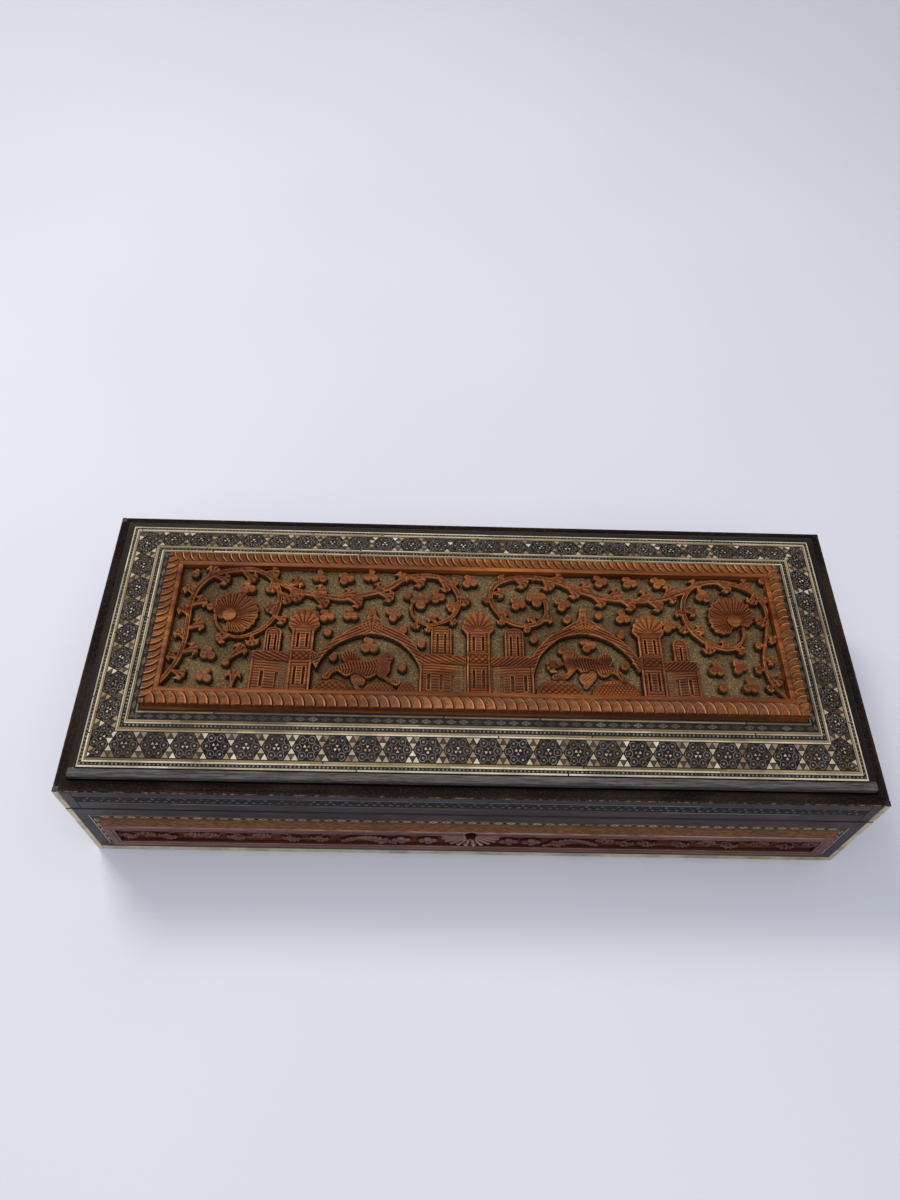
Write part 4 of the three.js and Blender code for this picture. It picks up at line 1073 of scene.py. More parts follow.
STEM_RIGHT = [
    (26, 13.6), (26.6, 10.8), (26, 6.8), (23.6, 4), (19.2, 2.6), (14.4, 3.2), (10.4, 5.6), (7.6, 9.2),
    (6, 12.8), (5.8, 16.8), (7.4, 20.4), (10.8, 22.8), (16, 24.2), (22.4, 24.4), (28, 23.6), (32, 22.2),
    (36, 20.2), (40, 18.4), (44.8, 16.8), (49.6, 15.6), (54.4, 15), (60.8, 14.6), (67.2, 15.2), (72, 16.2),
    (76, 18), (80, 19.6), (83.2, 21.6), (87.2, 23.4), (92, 24.2), (96.8, 24), (101.6, 22.4), (105.6, 20),
    (108.4, 16.4), (109.8, 12.4), (109.6, 7.6), (108.6, 2.8), (107.6, -1.2), (106, -6), (105.2, -10.8),
    (105.4, -15.6), (106.8, -20.4), (110.6, -25.8),
]
STEM_RIGHT_LOOP = [
    (84.8, 22.6), (81.6, 20), (79.2, 16), (78.2, 11.6), (78.4, 7.6), (80, 2.4), (82.8, -1.2), (86.4, -4),
    (91.2, -5.6), (95.2, -5.2), (98, -2.8), (99.6, 0.2), (99.8, 3.4),
]
LEAVES = [
    (-105.4, 13, -108.2, 17), (-106, 3.6, -109, 7.6), (-105.8, -6.4, -108.8, -3),
    (-106.8, -14.8, -110, -12.4), (-105.7, 8, -101, 11.2), (-105.7, -2, -100.6, 1), (-106, -12, -101, -9.8),
    (-108.6, -19.2, -104.1, -21), (-102, 19.8, -98.8, 25.6), (-99.2, 22, -93.8, 19.8),
    (-89.2, 25, -83.8, 20.8), (-80.4, 23.8, -75.4, 24.4), (-77.2, 21.2, -76.2, 15.8),
    (-74, 15.6, -69.8, 11.4), (-73.4, 10.8, -77, 6.8), (-74.8, 4.4, -70.6, 3), (-82, -3.2, -81, -7.8),
    (-90, -4.2, -93.8, -6), (-70.8, 17.6, -66.6, 21.2), (-61.6, 14.6, -57, 17), (-51.6, 13.2, -46.2, 16.2),
    (-38.8, 15.8, -35.4, 19.4), (-30, 20.4, -27.1, 24.6), (-70.8, 17.6, -65.8, 12.6),
    (-61.2, 14.4, -55.8, 10.2), (-48.4, 13.2, -43.2, 10.8), (-37.2, 16.2, -31.4, 14),
    (-24.8, 23.4, -20.2, 20.4), (-14.4, 23.8, -10.3, 18.2), (-10, 21.2, -7.1, 22.2),
    (-6.8, 14.8, -2.8, 12.6), (-6.4, 12.4, -9.8, 9.2), (-10, 4.8, -8.1, 3), (-14.4, 2.6, -16.6, 5.8),
    (-18, 2.3, -17.4, -0.4), (-21.6, 3.6, -22.6, 1), (10.8, 22.8, 9.8, 25), (6, 16.8, 10.2, 16.8),
    (14.8, 24, 19, 20.8), (5.9, 14.8, 3.4, 13.6), (8.4, 8, 11.4, 8.2), (9.6, 6.2, 9.4, 3.4),
    (18, 2.6, 19.2, 0.4), (22.4, 3.2, 20.4, 6.4), (24.8, 4.8, 27.8, 6), (27.6, 23.8, 33, 24.2),
    (37.6, 19.4, 43.2, 20.8), (49.6, 15.6, 54.6, 18.6), (60.8, 14.6, 65.8, 18.2), (71.2, 16, 75.5, 21),
    (80.8, 20.2, 85.3, 23.8), (25.6, 24.1, 28.8, 19.8), (34.4, 21.2, 38.9, 16.6), (43.6, 17, 48.5, 13),
    (54.4, 15, 59.7, 12), (64.8, 15, 70.1, 12), (73.2, 16.8, 75.5, 15), (92.8, 24.2, 97.3, 20.8),
    (100.4, 22.8, 105, 23.6), (108, 17.2, 110.7, 15.9), (106.4, 19.2, 105.4, 15), (109.6, 8.4, 106.2, 5.8),
    (108.2, 0.8, 110.7, -1.8), (106.8, -4, 103.8, -3.6), (105.4, -9.2, 108.6, -11),
    (105.3, -14, 101.9, -13.8), (105.8, -17.2, 109.9, -19.1), (106.8, -20.4, 105, -22.2),
    (78.4, 10.8, 82.6, 10.4), (78.2, 8.4, 75.8, 9.8), (79.2, 4.4, 76.6, 1.8), (80.4, 1.6, 84.2, 2.2),
    (84.8, -2.8, 86.2, -7), (90.4, -5.4, 92.3, -3), (95.2, -5.2, 98.2, -6.6),
]
FLOWERS = [
    (-59.2, 22.8), (-49.2, 22.4), (-39.6, 23.6), (-85.6, 16.8), (-55.2, 5.2), (-46.4, 6), (-30.4, 6.4),
    (-14.4, 14.8), (-2.2, 22), (-96.4, -12), (-96.4, -21.2), (48, 23.6), (59.2, 23.2), (70.4, 23.6),
    (16, 12.4), (32.8, 12.4), (55.2, 7.2), (72, 4), (41.2, -5.2), (86.8, 17.6), (87.2, -14.4),
    (95.6, -13.2), (98.4, -21.2),
]
BUDS = [
    (-106.4, 22.8), (-54.4, -2), (-25.6, 14.8), (-26.8, -0.4), (-20, -6.4), (-51.6, -12.6), (-26.6, -16.4),
    (34, 5.6), (46, 7.6), (53.6, -0.8), (21.2, -3.2), (88.4, -22), (111, 25.4), (27.6, -13.8), (53.8, -14),
]
ARCH_LEFT = (
    [(-57.4, -17.2), (-56, -13.4), (-52.4, -8.6), (-46.8, -4.6), (-38.4, -2.3), (-30, -4.6), (-24.4, -9.2),
     (-21, -14.4), (-20.2, -17.2)],
    [(-58.8, -14.8), (-56.8, -10.8), (-53.2, -6.4), (-48.4, -2.4), (-43.2, 1), (-40.2, 4.4), (-38.4, 6),
     (-36.2, 4.4), (-33.2, 1), (-28.4, -1.2), (-23.6, -5.2), (-19.6, -11.6), (-18.8, -14.8)],
)
ARCH_RIGHT = (
    [(20.6, -18), (21.8, -14), (24, -9.2), (29.6, -3.6), (34.4, -1.4), (40, -0.6), (45.6, -2), (51.2, -5.2),
     (56, -10.4), (58.8, -16.4)],
    [(19.6, -14), (21, -9.6), (26.4, -2.8), (32.8, 1.6), (37, 4.6), (40, 7.2), (43.6, 4.4), (48, 1),
     (54.4, -4.2), (59.6, -12), (60, -14.8)],
)
CAT_LEFT = [
    (-30.1, -11.2), (-31.8, -10.1), (-33.6, -10.3), (-36, -12.3), (-38, -13.4), (-44.1, -13.8),
    (-46.8, -14.5), (-49.5, -16.1), (-51.3, -17), (-53.4, -18.8), (-54.8, -20.2), (-54.3, -21.1),
    (-52.8, -21.1), (-51.4, -18.9), (-49.7, -18), (-48, -19.1), (-46.3, -19.9), (-44, -18.8),
    (-42.5, -18.8), (-39.6, -20.5), (-37.8, -20.4), (-35.6, -19), (-34.8, -19.9), (-32.8, -20.9),
    (-31.1, -22.3), (-28.6, -23.4), (-27.2, -22.3), (-28.4, -21.4), (-30.4, -21.1), (-32.2, -19.8),
    (-31.1, -17.4), (-31, -14.7), (-30.2, -12.5),
]
CAT_LEFT_LEGS = [
    (-45, -18.5), (-40.6, -18.5), (-39.6, -21.1), (-40.2, -23), (-42, -23.2), (-40.6, -25.4),
    (-42.6, -25.4), (-43.6, -23.2), (-44.6, -21.4),
]
CAT_LEFT_TAIL = [
    (-45, -15.2), (-46.8, -14.6), (-48.2, -13.2), (-48.4, -11.1), (-47, -9.7), (-44.8, -10), (-43, -11.5),
    (-42.5, -13.1), (-43.4, -14.4),
]
CAT_RIGHT = [
    (30, -7.6), (30.8, -6.4), (32.4, -6.2), (35.4, -7.6), (36.8, -9.2), (38.2, -10.2), (41.4, -10.6),
    (45, -12), (48.2, -14.1), (51.6, -15.9), (53.2, -17.9), (53.9, -20), (52.8, -20.7), (51.7, -19.3),
    (50.4, -17.4), (48.8, -16.8), (46.6, -18.3), (44.5, -17.8), (43.4, -16), (41.2, -15.3), (39.4, -16.5),
    (37.6, -16.3), (36.4, -15), (34.7, -17), (32.4, -19.2), (30.1, -19.2), (28.4, -19.9), (27.2, -18.9),
    (28.2, -17.8), (31.7, -17.6), (33, -16.4), (32.3, -14.2), (31.8, -11.2), (31.2, -9.1), (30.1, -8.7),
]
CAT_RIGHT_LEGS = [
    (37, -18.3), (38.9, -16), (42.4, -15.2), (43.6, -17), (43, -18.9), (41.3, -20.9), (39.8, -22.9),
    (38.4, -22.4), (38.5, -21.2), (37.5, -20.1),
]
CAT_RIGHT_TAIL = [
    (46.6, -13.9), (44.4, -12), (44.6, -10.1), (46.4, -8.9), (48.4, -9.2), (49.5, -10.8), (49.4, -12.4),
    (48.4, -14),
]
SHELL_LEFT = [
    (-180, 4.8), (-165, 4.2), (-150, 2.0), (-106, 2.0), (-95, 5.6), (-83, 6.6), (-54, 8.8), (-24, 9.5),
    (13, 10.6), (50, 10.8), (96, 10.0), (125, 9.0), (156, 7.2), (168, 5.8), (180, 4.8),
]
SHELL_RIGHT = [
    (-180, 9.2), (-150, 8.8), (-130, 7.2), (-112, 5.2), (-100, 2.0), (-32, 2.0), (-20, 5.4), (-8, 6.6),
    (20, 8.3), (50, 9.9), (90, 10.8), (130, 10.6), (180, 9.2),
]
MOUNDS = [
    (-51.6, 6.4, -20.8, lattice), (-34.6, 5.6, -21.4, dashes), (-25.0, 3.0, -21.4, dashes),
    (29.6, 8.2, -19.2, lattice), (50, 8.8, -18.9, dashes),
]
HOUSES = [
    (-80.6, -67.2, -10.6, (-76.4, -71.2), (-76.9, -71.2, -0.5), -1),
    (-20.2, -3.4, -10.6, (-17.0, -12.6, -8.4), (-16.4, -9.0, 1.4), -1),
    (5.0, 20.4, -11.0, (9.1, 12.9, 17.5), (10.6, 17.4, 1.0), 1),
    (67.8, 80.2, -11.4, (72.2, 76.8), (72.4, 77.4, -2.2), 1),
]
TOWERS = [(-63.2, 3.9, 1), (0.8, 4.1, 0), (63.8, 4.1, -1)]
print(len(LEAVES), "leaves,", len(FLOWERS), "flowers and", len(BUDS), "buds")

# %% Carve the lid
panel_low, panel_high = (Vector(v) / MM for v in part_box("lid_carved_panel"))
PANEL_TOP = panel_high.z
FRAME_WIDTH = 6.4
GRID_STEP, FORMS_BELOW, GROUND_BELOW = 0.18, 0.4, 3.6
field_x = panel_high.x - FRAME_WIDTH
field_y = panel_high.y - FRAME_WIDTH
ground = PANEL_TOP - GROUND_BELOW
lid = Relief(-field_x, field_x, -field_y, field_y, GRID_STEP, ground, PANEL_TOP - FORMS_BELOW)
foot = -field_y
for place in LEAVES:
    leaf(lid, *place)
for place in STEM_LEFT, STEM_LEFT_TOP, STEM_RIGHT, STEM_RIGHT_LOOP:
    stem(lid, place)
for x, y in FLOWERS:
    flower(lid, x, y, 1.45, chance.uniform(-30, 30))
for x, y in BUDS:
    pellets(lid, [(x, y, 1.35), (x + 0.5, y + 1.3, 0.85)], 0.2)
for x, y in ((-20.6, 12.8), (23.2, 14.8)):
    flower(lid, x, y, 1.8, 40)
pellets(lid, [(-98.6, 8, 1.25), (-91.6, -1.9, 1.1), (-89.8, -15.4, 1.4)], 0.1)
leaf(lid, -89.4, -14.6, -84.0, -9.0)
leaf(lid, -86.6, -25.4, -86.0, -19.2)
shell(lid, -91, 4.4, SHELL_LEFT)
shell(lid, 96.8, 6.4, SHELL_RIGHT)
arch(lid, *ARCH_LEFT)
arch(lid, *ARCH_RIGHT)
for x, half, top, pattern in MOUNDS:
    mound(lid, x, half, top, foot, pattern)
cat(lid, CAT_LEFT, CAT_LEFT_LEGS, (-32.4, -12.2), CAT_LEFT_TAIL, 1)
cat(lid, CAT_RIGHT, CAT_RIGHT_LEGS, (32.4, -8.0), CAT_RIGHT_TAIL, -1)
flower(lid, -38.6, -7.4, 1.7, -20)
leaf(lid, 31.2, -13.2, 26.2, -14.6, 0.7)
for x0, x1, eaves, windows, turret, near in HOUSES:
    house(lid, x0, x1, eaves, windows, turret, foot, near)
for x, half, peg in TOWERS:
    tower(lid, x, half, foot, peg)
X, Y, Z, faces, numbers = lid.surface()
field = piece_from(
    "lid_carved_field", np.stack([X, Y, Z], -1).reshape(-1, 3), faces, "lid",
    [lid_carving], numbers, stands_for=["lid_carved_panel"],
)
field.data.shade_smooth()
field.data.set_sharp_from_angle(angle=math.radians(42))
flat_map(field, 0, 1, -field_x, field_x)
print("lid field:", len(faces), "triangles, top", round(float(Z.max()), 2))

# %% [markdown]
# ## The frame of the lid's panel
# Round the scene runs a flat fillet, and outside it a rounded band of overlapping crescent leaves.
# A carver cuts it with one curved gouge: a deep stop cut at every leaf and a shallow one inside it.

# %% Crescent frame
BAND = 4.6
BOW = 3.1
FOOT_BEAD = 1.5
FRONT_PITCH, OTHER_PITCH = 3.7, 3.05


def crescents(t, x, pitch):
    """The phase, cut, dust, bright rim and dark line of the leaves, from the band's edge and along it. The
    bright rim is a painted highlight, and the dark line painted shadow in the stop cut.
    """
    share = np.clip(t / BAND, 0, 1)
    bow = BOW * np.sqrt(np.clip(1 - share ** 2, 0, 1))
    phase = ((x - bow) / pitch) % 1.0
    inside = np.clip((BAND - t) / 0.35, 0, 1)
    cut = np.interp(phase, (0, 0.04, 0.09, 0.7, 0.8, 0.93, 1), (0.8, 0.72, 0.5, 0.16, 0, 0, 0.8)) * inside
    dust = np.clip((0.24 + 0.36 * share - phase) / 0.14, 0, 1) * np.clip((phase - 0.07) / 0.05, 0, 1) * inside
    rim = np.interp(phase, (0, 0.74, 0.84, 0.9, 0.94, 1), (0, 0, 0.8, 0.8, 0, 0)) * inside
    line = np.interp(phase, (0, 0.05, 0.11, 0.92, 0.97, 1), (1, 0.9, 0, 0, 1, 1)) * inside
    return phase, cut, dust, rim, line


def frame_side(half, other, pitch):
    """One mitred side, drawn as the front one, from its outer foot to the edge of the field."""
    low = panel_low.z
    skirt = [(0, low), (0, low + FOOT_BEAD), (0.2, low + FOOT_BEAD + 0.25), (0.2, PANEL_TOP - 1.3)]
    across = np.concatenate([np.linspace(0.22, BAND, 26), [4.68, 4.9, 5.5, 6.1, 6.28, 6.36, FRAME_WIDTH]])
    t = np.concatenate([[place for place, _ in skirt], across])
    share = np.linspace(-1, 1, int(half * 2 / 0.2))
    T, S = np.meshgrid(t, share, indexing="ij")
    A = S * (half - T)
    phase, cut, dust, rim, line = crescents(T, A, pitch)
    rise = np.clip(T / BAND, 0, 1)
    band = PANEL_TOP - 0.4 * (1 - rise) ** 2 - 0.1 - cut
    fillet = PANEL_TOP - 0.3 * groove(T, 4.72, 0.09) - 0.16 * np.clip((T - 6.1) / 0.2, 0, 1)
    Z = np.where(T <= BAND, band, fillet)
    B = -(other - T) + 0.45 * (1 - phase) * np.clip(1 - T / 0.9, 0, 1)
    for row, (_, height) in enumerate(skirt):
        Z[row] = height
        B[row] = -(other - T[row])
    Z[-1] = ground - 0.1
    side = np.clip((PANEL_TOP - 1.2 - Z) / 0.1, 0, 1)
    bead = groove(Z, low + FOOT_BEAD + 0.1, 0.25)
    # Painted light: the inner side wall and the dusty hollows darken as painted shade, and the rims and the
    # bead take a painted highlight.
    return A, B, Z, {
        "depth": 0.25 * side * (1 - 0.42 * bead),
        "hollow": line * (1 - side),
        "dust": 0.8 * dust * (1 - side),
        "foot": 0.3 * dust,
        "edge": rim * (1 - side) + 0.1 * bead,
        "bevel": 0 * Z,
    }


points, quads, marks = [], [], []
offset = 0
for quarter in range(4):
    half, other = (panel_high.x, panel_high.y) if quarter % 2 == 0 else (panel_high.y, panel_high.x)
    A, B, Zs, side_marks = frame_side(half, other, FRONT_PITCH if quarter == 0 else OTHER_PITCH)
    points.append(np.stack(turn_round(quarter, A, B, Zs), -1).reshape(-1, 3))
    quads.append(np.stack(cells(A.shape, offset), -1).reshape(-1, 4))
    marks.append(side_marks)
    offset += A.size
numbers = {label: np.concatenate([side_marks[label].ravel() for side_marks in marks]) for label in marks[0]}
border = piece_from(
    "lid_crescent_frame", np.concatenate(points), np.concatenate(quads), "lid",
    [lid_carving], numbers,
)
border.data.shade_smooth()
border.data.set_sharp_from_angle(angle=math.radians(45))
print("crescent frame:", len(border.data.polygons), "faces")

# %% [markdown]
# ## Mosaic
# The mosaic is built as the maker builds it: rods of bone, wood and pewter are glued into bundles
# and sliced across, so the same star of slips comes again and again.
# Here each slip is a small flat face just above the dark ground, laid in the plane of its band
# and cut to the mitre at the corners.

# %% Laying slips
KINDS = list(SLIPS)


class Inlay:
    """Flat slips laid on planes. A plane turns (along, across, lift) into a point in millimetres."""

    def __init__(self):
        self.points, self.faces, self.kinds, self.shades = [], [], [], []

    def lay(self, plane, polygon, kind, layer=1, shade=None, limits=()):
        for a, b, c in limits:
            polygon = clip(polygon, a, b, c)
            if len(polygon) < 3:
                return
        first = len(self.points)
        tone = chance.uniform(0.1, 0.9) if shade is None else shade
        self.points += [plane(u, v, 0.015 * layer) for u, v in polygon]
        self.faces.append(tuple(range(first, len(self.points))))
        self.kinds.append(KINDS.index(kind))
        self.shades += [tone] * len(polygon)

    def piece(self, name, body):
        piece_from(
            name, self.points, self.faces, body, list(SLIPS.values()),
            {"shade": self.shades}, self.kinds,
        )
        print(name + ":", len(self.faces), "slips")


def clip(polygon, a, b, c):
    """The part of a convex polygon where a*u + b*v <= c."""
    out = []
    for (u0, v0), (u1, v1) in zip(polygon, polygon[1:] + polygon[:1]):
        d0, d1 = a * u0 + b * v0 - c, a * u1 + b * v1 - c
        if d0 <= 0:
            out.append((u0, v0))
        if (d0 < 0 < d1) or (d1 < 0 < d0):
            t = d0 / (d0 - d1)
            out.append((u0 + t * (u1 - u0), v0 + t * (v1 - v0)))
    return out


def round_point(x, y, radius, turn):
    return x + radius * math.cos(turn), y + radius * math.sin(turn)


def regular(x, y, radius, sides, turn=0.0):
    return [round_point(x, y, radius, turn + 2 * math.pi * i / sides) for i in range(sides)]


def arc_slips(x, y, radius, width, start, end, steps):
    """A curved strip as short convex pieces."""
    turns = [math.radians(start + (end - start) * i / steps) for i in range(steps + 1)]
    inner, outer = radius - width / 2, radius + width / 2
    corners = ((inner, 0), (outer, 0), (outer, 1), (inner, 1))
    return [[round_point(x, y, reach, pair[i]) for reach, i in corners] for pair in zip(turns, turns[1:])]


def bar(u0, u1, v0, v1):
    return [(u0, v0), (u1, v0), (u1, v1), (u0, v1)]


def lozenge(u, v, wide, high):
    """A lozenge from its middle, half its width and half its height."""
    return [(u - wide, v), (u, v - high), (u + wide, v), (u, v + high)]


print("slip tools ready")

# %% [markdown]
# ### The wide border of the lid
# From the outside in: a bone line, a row of dots, bone and tan lines, the band of hexagon stars,
# bone and tan lines, a second row of dots, bone and tan lines, a row of pewter lozenges and a tan line.
# Its plane leans up towards the panel by 17 degrees.

# %% The lid's mosaic border
SLOPE = math.radians(17)
SLOPE_START, SLOPE_FOOT = 4.55, 60.4
OUTER = 7.3
OUTER_HEIGHT = SLOPE_FOOT + (OUTER - SLOPE_START) * math.tan(SLOPE)
DOT_PITCH = 1.42


def border_plane(quarter):
    """The leaning plane of one side, half the length of its outer edge, and its mitres as limits."""
    half, out = wall_size(quarter)

    def plane(u, s, lift):
        inset = OUTER + s * math.cos(SLOPE) - lift * math.sin(SLOPE)
        z = OUTER_HEIGHT + s * math.sin(SLOPE) + lift * math.cos(SLOPE)
        return turn_round(quarter, u, inset - out, z)

    corner = half - OUTER
    return plane, corner, [(1, math.cos(SLOPE), corner), (-1, math.cos(SLOPE), corner)]


def lines(inlay, plane, reach, limits, rows):
    """Long thin slips, each made of a few lengths with hairline joints between them."""
    for low, high, kind in rows:
        u = -reach
        while u < reach:
            length = chance.uniform(20, 56)
            joint = chance.choice([0.06, 0.06, 0.5])
            inlay.lay(plane, bar(u + joint, min(u + length, reach), low, high), kind, 1, None, limits)
            u += length


def dotted(inlay, plane, reach, limits, low, high):
    middle = (low + high) / 2
    count = int(reach / DOT_PITCH)
    for i in range(-count, count + 1):
        u = i * DOT_PITCH + chance.uniform(-0.06, 0.06)
        size = (high - low) * chance.uniform(0.3, 0.4)
        dot = regular(u, middle, size, 5, chance.uniform(0, 6))
        inlay.lay(plane, dot, "pewter", 2, chance.uniform(0.15, 0.75), limits)


def star(inlay, plane, u, v, size, limits):
    """A hexagon of six round cells about three pale triangles. Size is from its middle to a point."""
    inlay.lay(plane, regular(u, v, size, 6), "black", 1, None, limits)
    for turn in range(0, 360, 60):
        cx, cy = round_point(u, v, 0.62 * size, math.radians(turn))
        tone = chance.uniform(0.1, 0.6)
        for start, end, steps in ((turn + 108, turn + 252, 6), (turn - 56, turn + 56, 5)):
            for part in arc_slips(cx, cy, 0.25 * size, 0.05 * size, start, end, steps):
                inlay.lay(plane, part, "pewter", 2, tone, limits)
        inlay.lay(plane, regular(cx, cy, 0.09 * size, 6, 0.3), "pewter", 2, chance.uniform(0.3, 0.8), limits)
        gx, gy = round_point(u, v, 0.86 * size, math.radians(turn + 30))
        for part in arc_slips(gx, gy, 0.26 * size, 0.05 * size, turn + 150, turn + 270, 5):
            inlay.lay(plane, part, "pewter", 2, tone * 0.7, limits)
    flip = chance.choice([0, 180])
    for i in range(3):
        turn = math.radians(90 + flip + 120 * i)
        cx, cy = round_point(u, v, 0.16 * size, turn)
        kind = chance.choice(["bone", "bone", "pink"])
        inlay.lay(plane, regular(cx, cy, 0.115 * size, 3, turn + math.pi), kind, 3, None, limits)


def between_stars(inlay, plane, u, v, side, rise, lights, limits):
    """Four slips between two stars: a brown one in the middle and three drawn from the lights."""
    height = side * math.sqrt(3) / 2
    half, edge = side / 2, v + rise * height
    mid = v + rise * height / 2
    triangles = [
        ([(u, v), (u - half / 2, mid), (u + half / 2, mid)], True),
        ([(u - half / 2, mid), (u - half, edge), (u, edge)], True),
        ([(u + half / 2, mid), (u, edge), (u + half, edge)], True),
        ([(u - half / 2, mid), (u + half / 2, mid), (u, edge)], False),
    ]
    for polygon, light in triangles:
        cx = sum(p[0] for p in polygon) / 3
        cy = sum(p[1] for p in polygon) / 3
        shrunk = [(cx + 0.88 * (x - cx), cy + 0.88 * (y - cy)) for x, y in polygon]
        kind = chance.choice(lights) if light else "brown"
        inlay.lay(plane, shrunk, kind, 2, None, limits)


STAR_PITCH, STAR_MIDDLE, STAR_SIZE, TRIANGLE = 10.5, 8.25, 5.2, 5.15
LOZENGE_PITCH, LOZENGE_MIDDLE = 4.4, 18.25
BORDER_LINES = [
    (0.35, 0.95, "bone"), (2.15, 2.75, "bone"), (2.85, 3.5, "tan"),
    (12.95, 13.5, "bone"), (13.65, 14.2, "tan"),
    (15.7, 16.2, "bone"), (16.4, 16.95, "tan"), (19.5, 20.05, "tan"),
]
border_inlay = Inlay()


def star_band(quarter, plane, corner, limits):
    """The row of stars along one side. The front one has paler triangles and the other sides darker ones, a
    painted difference of light.
    """
    count = int(corner / STAR_PITCH) + 1
    shift = 4.25 if quarter % 2 == 0 else 0.0
    lights = ["bone", "bone", "tan", "pink"] if quarter == 0 else ["bone", "tan", "tan", "brown"]
    for i in range(-count, count + 1):
        u = i * STAR_PITCH + shift
        star(border_inlay, plane, u, STAR_MIDDLE, STAR_SIZE, limits)
        for rise in (1, -1):
            gap = u + STAR_PITCH / 2
            between_stars(border_inlay, plane, gap, STAR_MIDDLE, TRIANGLE, rise, lights, limits)


def lozenge_row(plane, corner, limits):
    """Pewter lozenges with two short dark ticks in each."""
    count = int(corner / LOZENGE_PITCH)
    for i in range(-count, count + 1):
        u = i * LOZENGE_PITCH
        tone = chance.uniform(0, 0.35)
        border_inlay.lay(plane, lozenge(u, LOZENGE_MIDDLE, 1.95, 0.9), "pewter", 1, tone, limits)
        for side in (-0.45, 0.45):
            tick = bar(u + side - 0.09, u + side + 0.09, LOZENGE_MIDDLE - 0.45, LOZENGE_MIDDLE + 0.45)
            border_inlay.lay(plane, tick, "black", 2, None, limits)


for quarter in range(4):
    plane, corner, limits = border_plane(quarter)
    lines(border_inlay, plane, corner, limits, BORDER_LINES)
    dotted(border_inlay, plane, corner, limits, 1.0, 2.1)
    dotted(border_inlay, plane, corner, limits, 14.5, 15.6)
    star_band(quarter, plane, corner, limits)
    lozenge_row(plane, corner, limits)
border_inlay.piece("lid_border_slips", "lid")

# %% [markdown]
# ### Mosaic on the walls and the rim
# A narrow band of lozenges frames each carved wall panel,
# and a finer, duller band runs round the rim of the lid.
# Thin lines of bone, tan, pewter and black part the woods; the black lines along the seam of lid and case are
# painted shadow. Two slips have dropped out at the front right.

# %% Wall and rim mosaic
CHAIN_PITCH = 4.75
BAND_OUTER, BAND_INNER = 6.3, 9.3
BAND_FOOT, BAND_HEAD, BAND_MIDDLE = 7.1, 36.1, 21.6
CHAIN_HEIGHTS = (34.6, 8.6)
UPRIGHT_CHAIN = 13.2
OUTER_LINES = [(BAND_FOOT, BAND_FOOT + 0.35, "tan"), (BAND_HEAD - 0.35, BAND_HEAD, "tan")]
INNER_LINES = [(33.15, 33.45, "tan"), (9.75, 10.05, "tan")]
CORNER_STRIP = 2.2
# The black lines beside the seam of lid and case are painted shadow in the gap between them.
CASE_SEAM_LINE, LID_SEAM_LINE = (41.35, 41.75, "black"), (42.5, 43.0, "black")
RIM_PITCH, RIM_MIDDLE = 5.6, 50.9
RIM_LINES = [(47.7, 48.1, "pewter"), (53.8, 54.2, "pewter")]
# The back wall is the third one. Its hinges stand where the rim has a thin black line, a painted seam shadow,
# on the other walls.
HINGED = 2
RIM_CHIP = [(129.4, 50.3), (130.6, 51.0), (132.7, 51.9), (132.2, 50.9), (130.4, 50.0)]
CASE_CHIP = [(136.8, 28.4), (137.8, 31.6), (138.3, 31.2), (137.5, 28.2)]
case_inlay, rim_inlay = Inlay(), Inlay()


def wall_plane(quarter):
    """The plane of one wall's veneer, from the place along it, the height and the lift."""
    out = wall_size(quarter)[1]

    def plane(u, z, lift):
        return turn_round(quarter, u, -(out + lift), z)

    return plane


def post(side, near, far, low, high):
    """An upright bar at one side of a wall, between two distances from its middle."""
    start, end = sorted((side * near, side * far))
    return bar(start, end, low, high)


def chain(plane, length, height):
    """A chain of bone lozenges, each with a dark spot and a pewter tick at either side of it."""
    count = int(length / CHAIN_PITCH)
    for i in range(-count, count + 1):
        u = i * CHAIN_PITCH
        if abs(u) > length - 1:
            continue
        case_inlay.lay(plane, lozenge(u, height, 2.0, 0.95), "bone", 1, chance.uniform(0, 0.45))
        case_inlay.lay(plane, regular(u, height, 0.5, 6), "black", 2)
        for side in (-1.2, 1.2):
            tick = bar(u + side - 0.12, u + side + 0.12, height - 0.5, height + 0.5)
            case_inlay.lay(plane, tick, "pewter", 2, 1.0)


def case_band(plane, half):
    """Four chains round the carved panel of a wall, between thin lines."""
    outer, inner = half - BAND_OUTER, half - BAND_INNER
    lines(case_inlay, plane, outer, (), OUTER_LINES)
    for side in (-1, 1):
        case_inlay.lay(plane, post(side, outer - 0.4, outer - 0.05, BAND_FOOT, BAND_HEAD), "bone")
        case_inlay.lay(plane, post(side, inner + 0.1, inner + 0.4, 10.0, 33.1), "tan")
    lines(case_inlay, plane, inner, (), INNER_LINES)
    for height in CHAIN_HEIGHTS:
        chain(plane, inner, height)
    for side in (-1, 1):
        middle = side * (outer + inner) / 2

        def upright(u, v, lift):
            return plane(v + middle, u + BAND_MIDDLE, lift)

        chain(upright, UPRIGHT_CHAIN, 0.0)


def trefoil(plane, u):
    """Three round dots, each in a short arc, and a pair of arcs that closes the gap to the next trefoil."""
    for turn in (90, 210, 330):
        cx = u + 1.1 * math.cos(math.radians(turn))
        cy = RIM_MIDDLE + 1.0 * math.sin(math.radians(turn))
        rim_inlay.lay(plane, regular(cx, cy, 0.3, 6), "pewter", 2, chance.uniform(0.5, 1))
        for part in arc_slips(cx, cy, 0.78, 0.3, turn - 70, turn + 40, 4):
            rim_inlay.lay(plane, part, "pewter", 2, chance.uniform(0.4, 1))
    for start in (60, 240):
        for part in arc_slips(u + RIM_PITCH / 2, RIM_MIDDLE, 1.5, 0.24, start, start + 60, 2):
            rim_inlay.lay(plane, part, "pewter", 2, chance.uniform(0, 0.5))


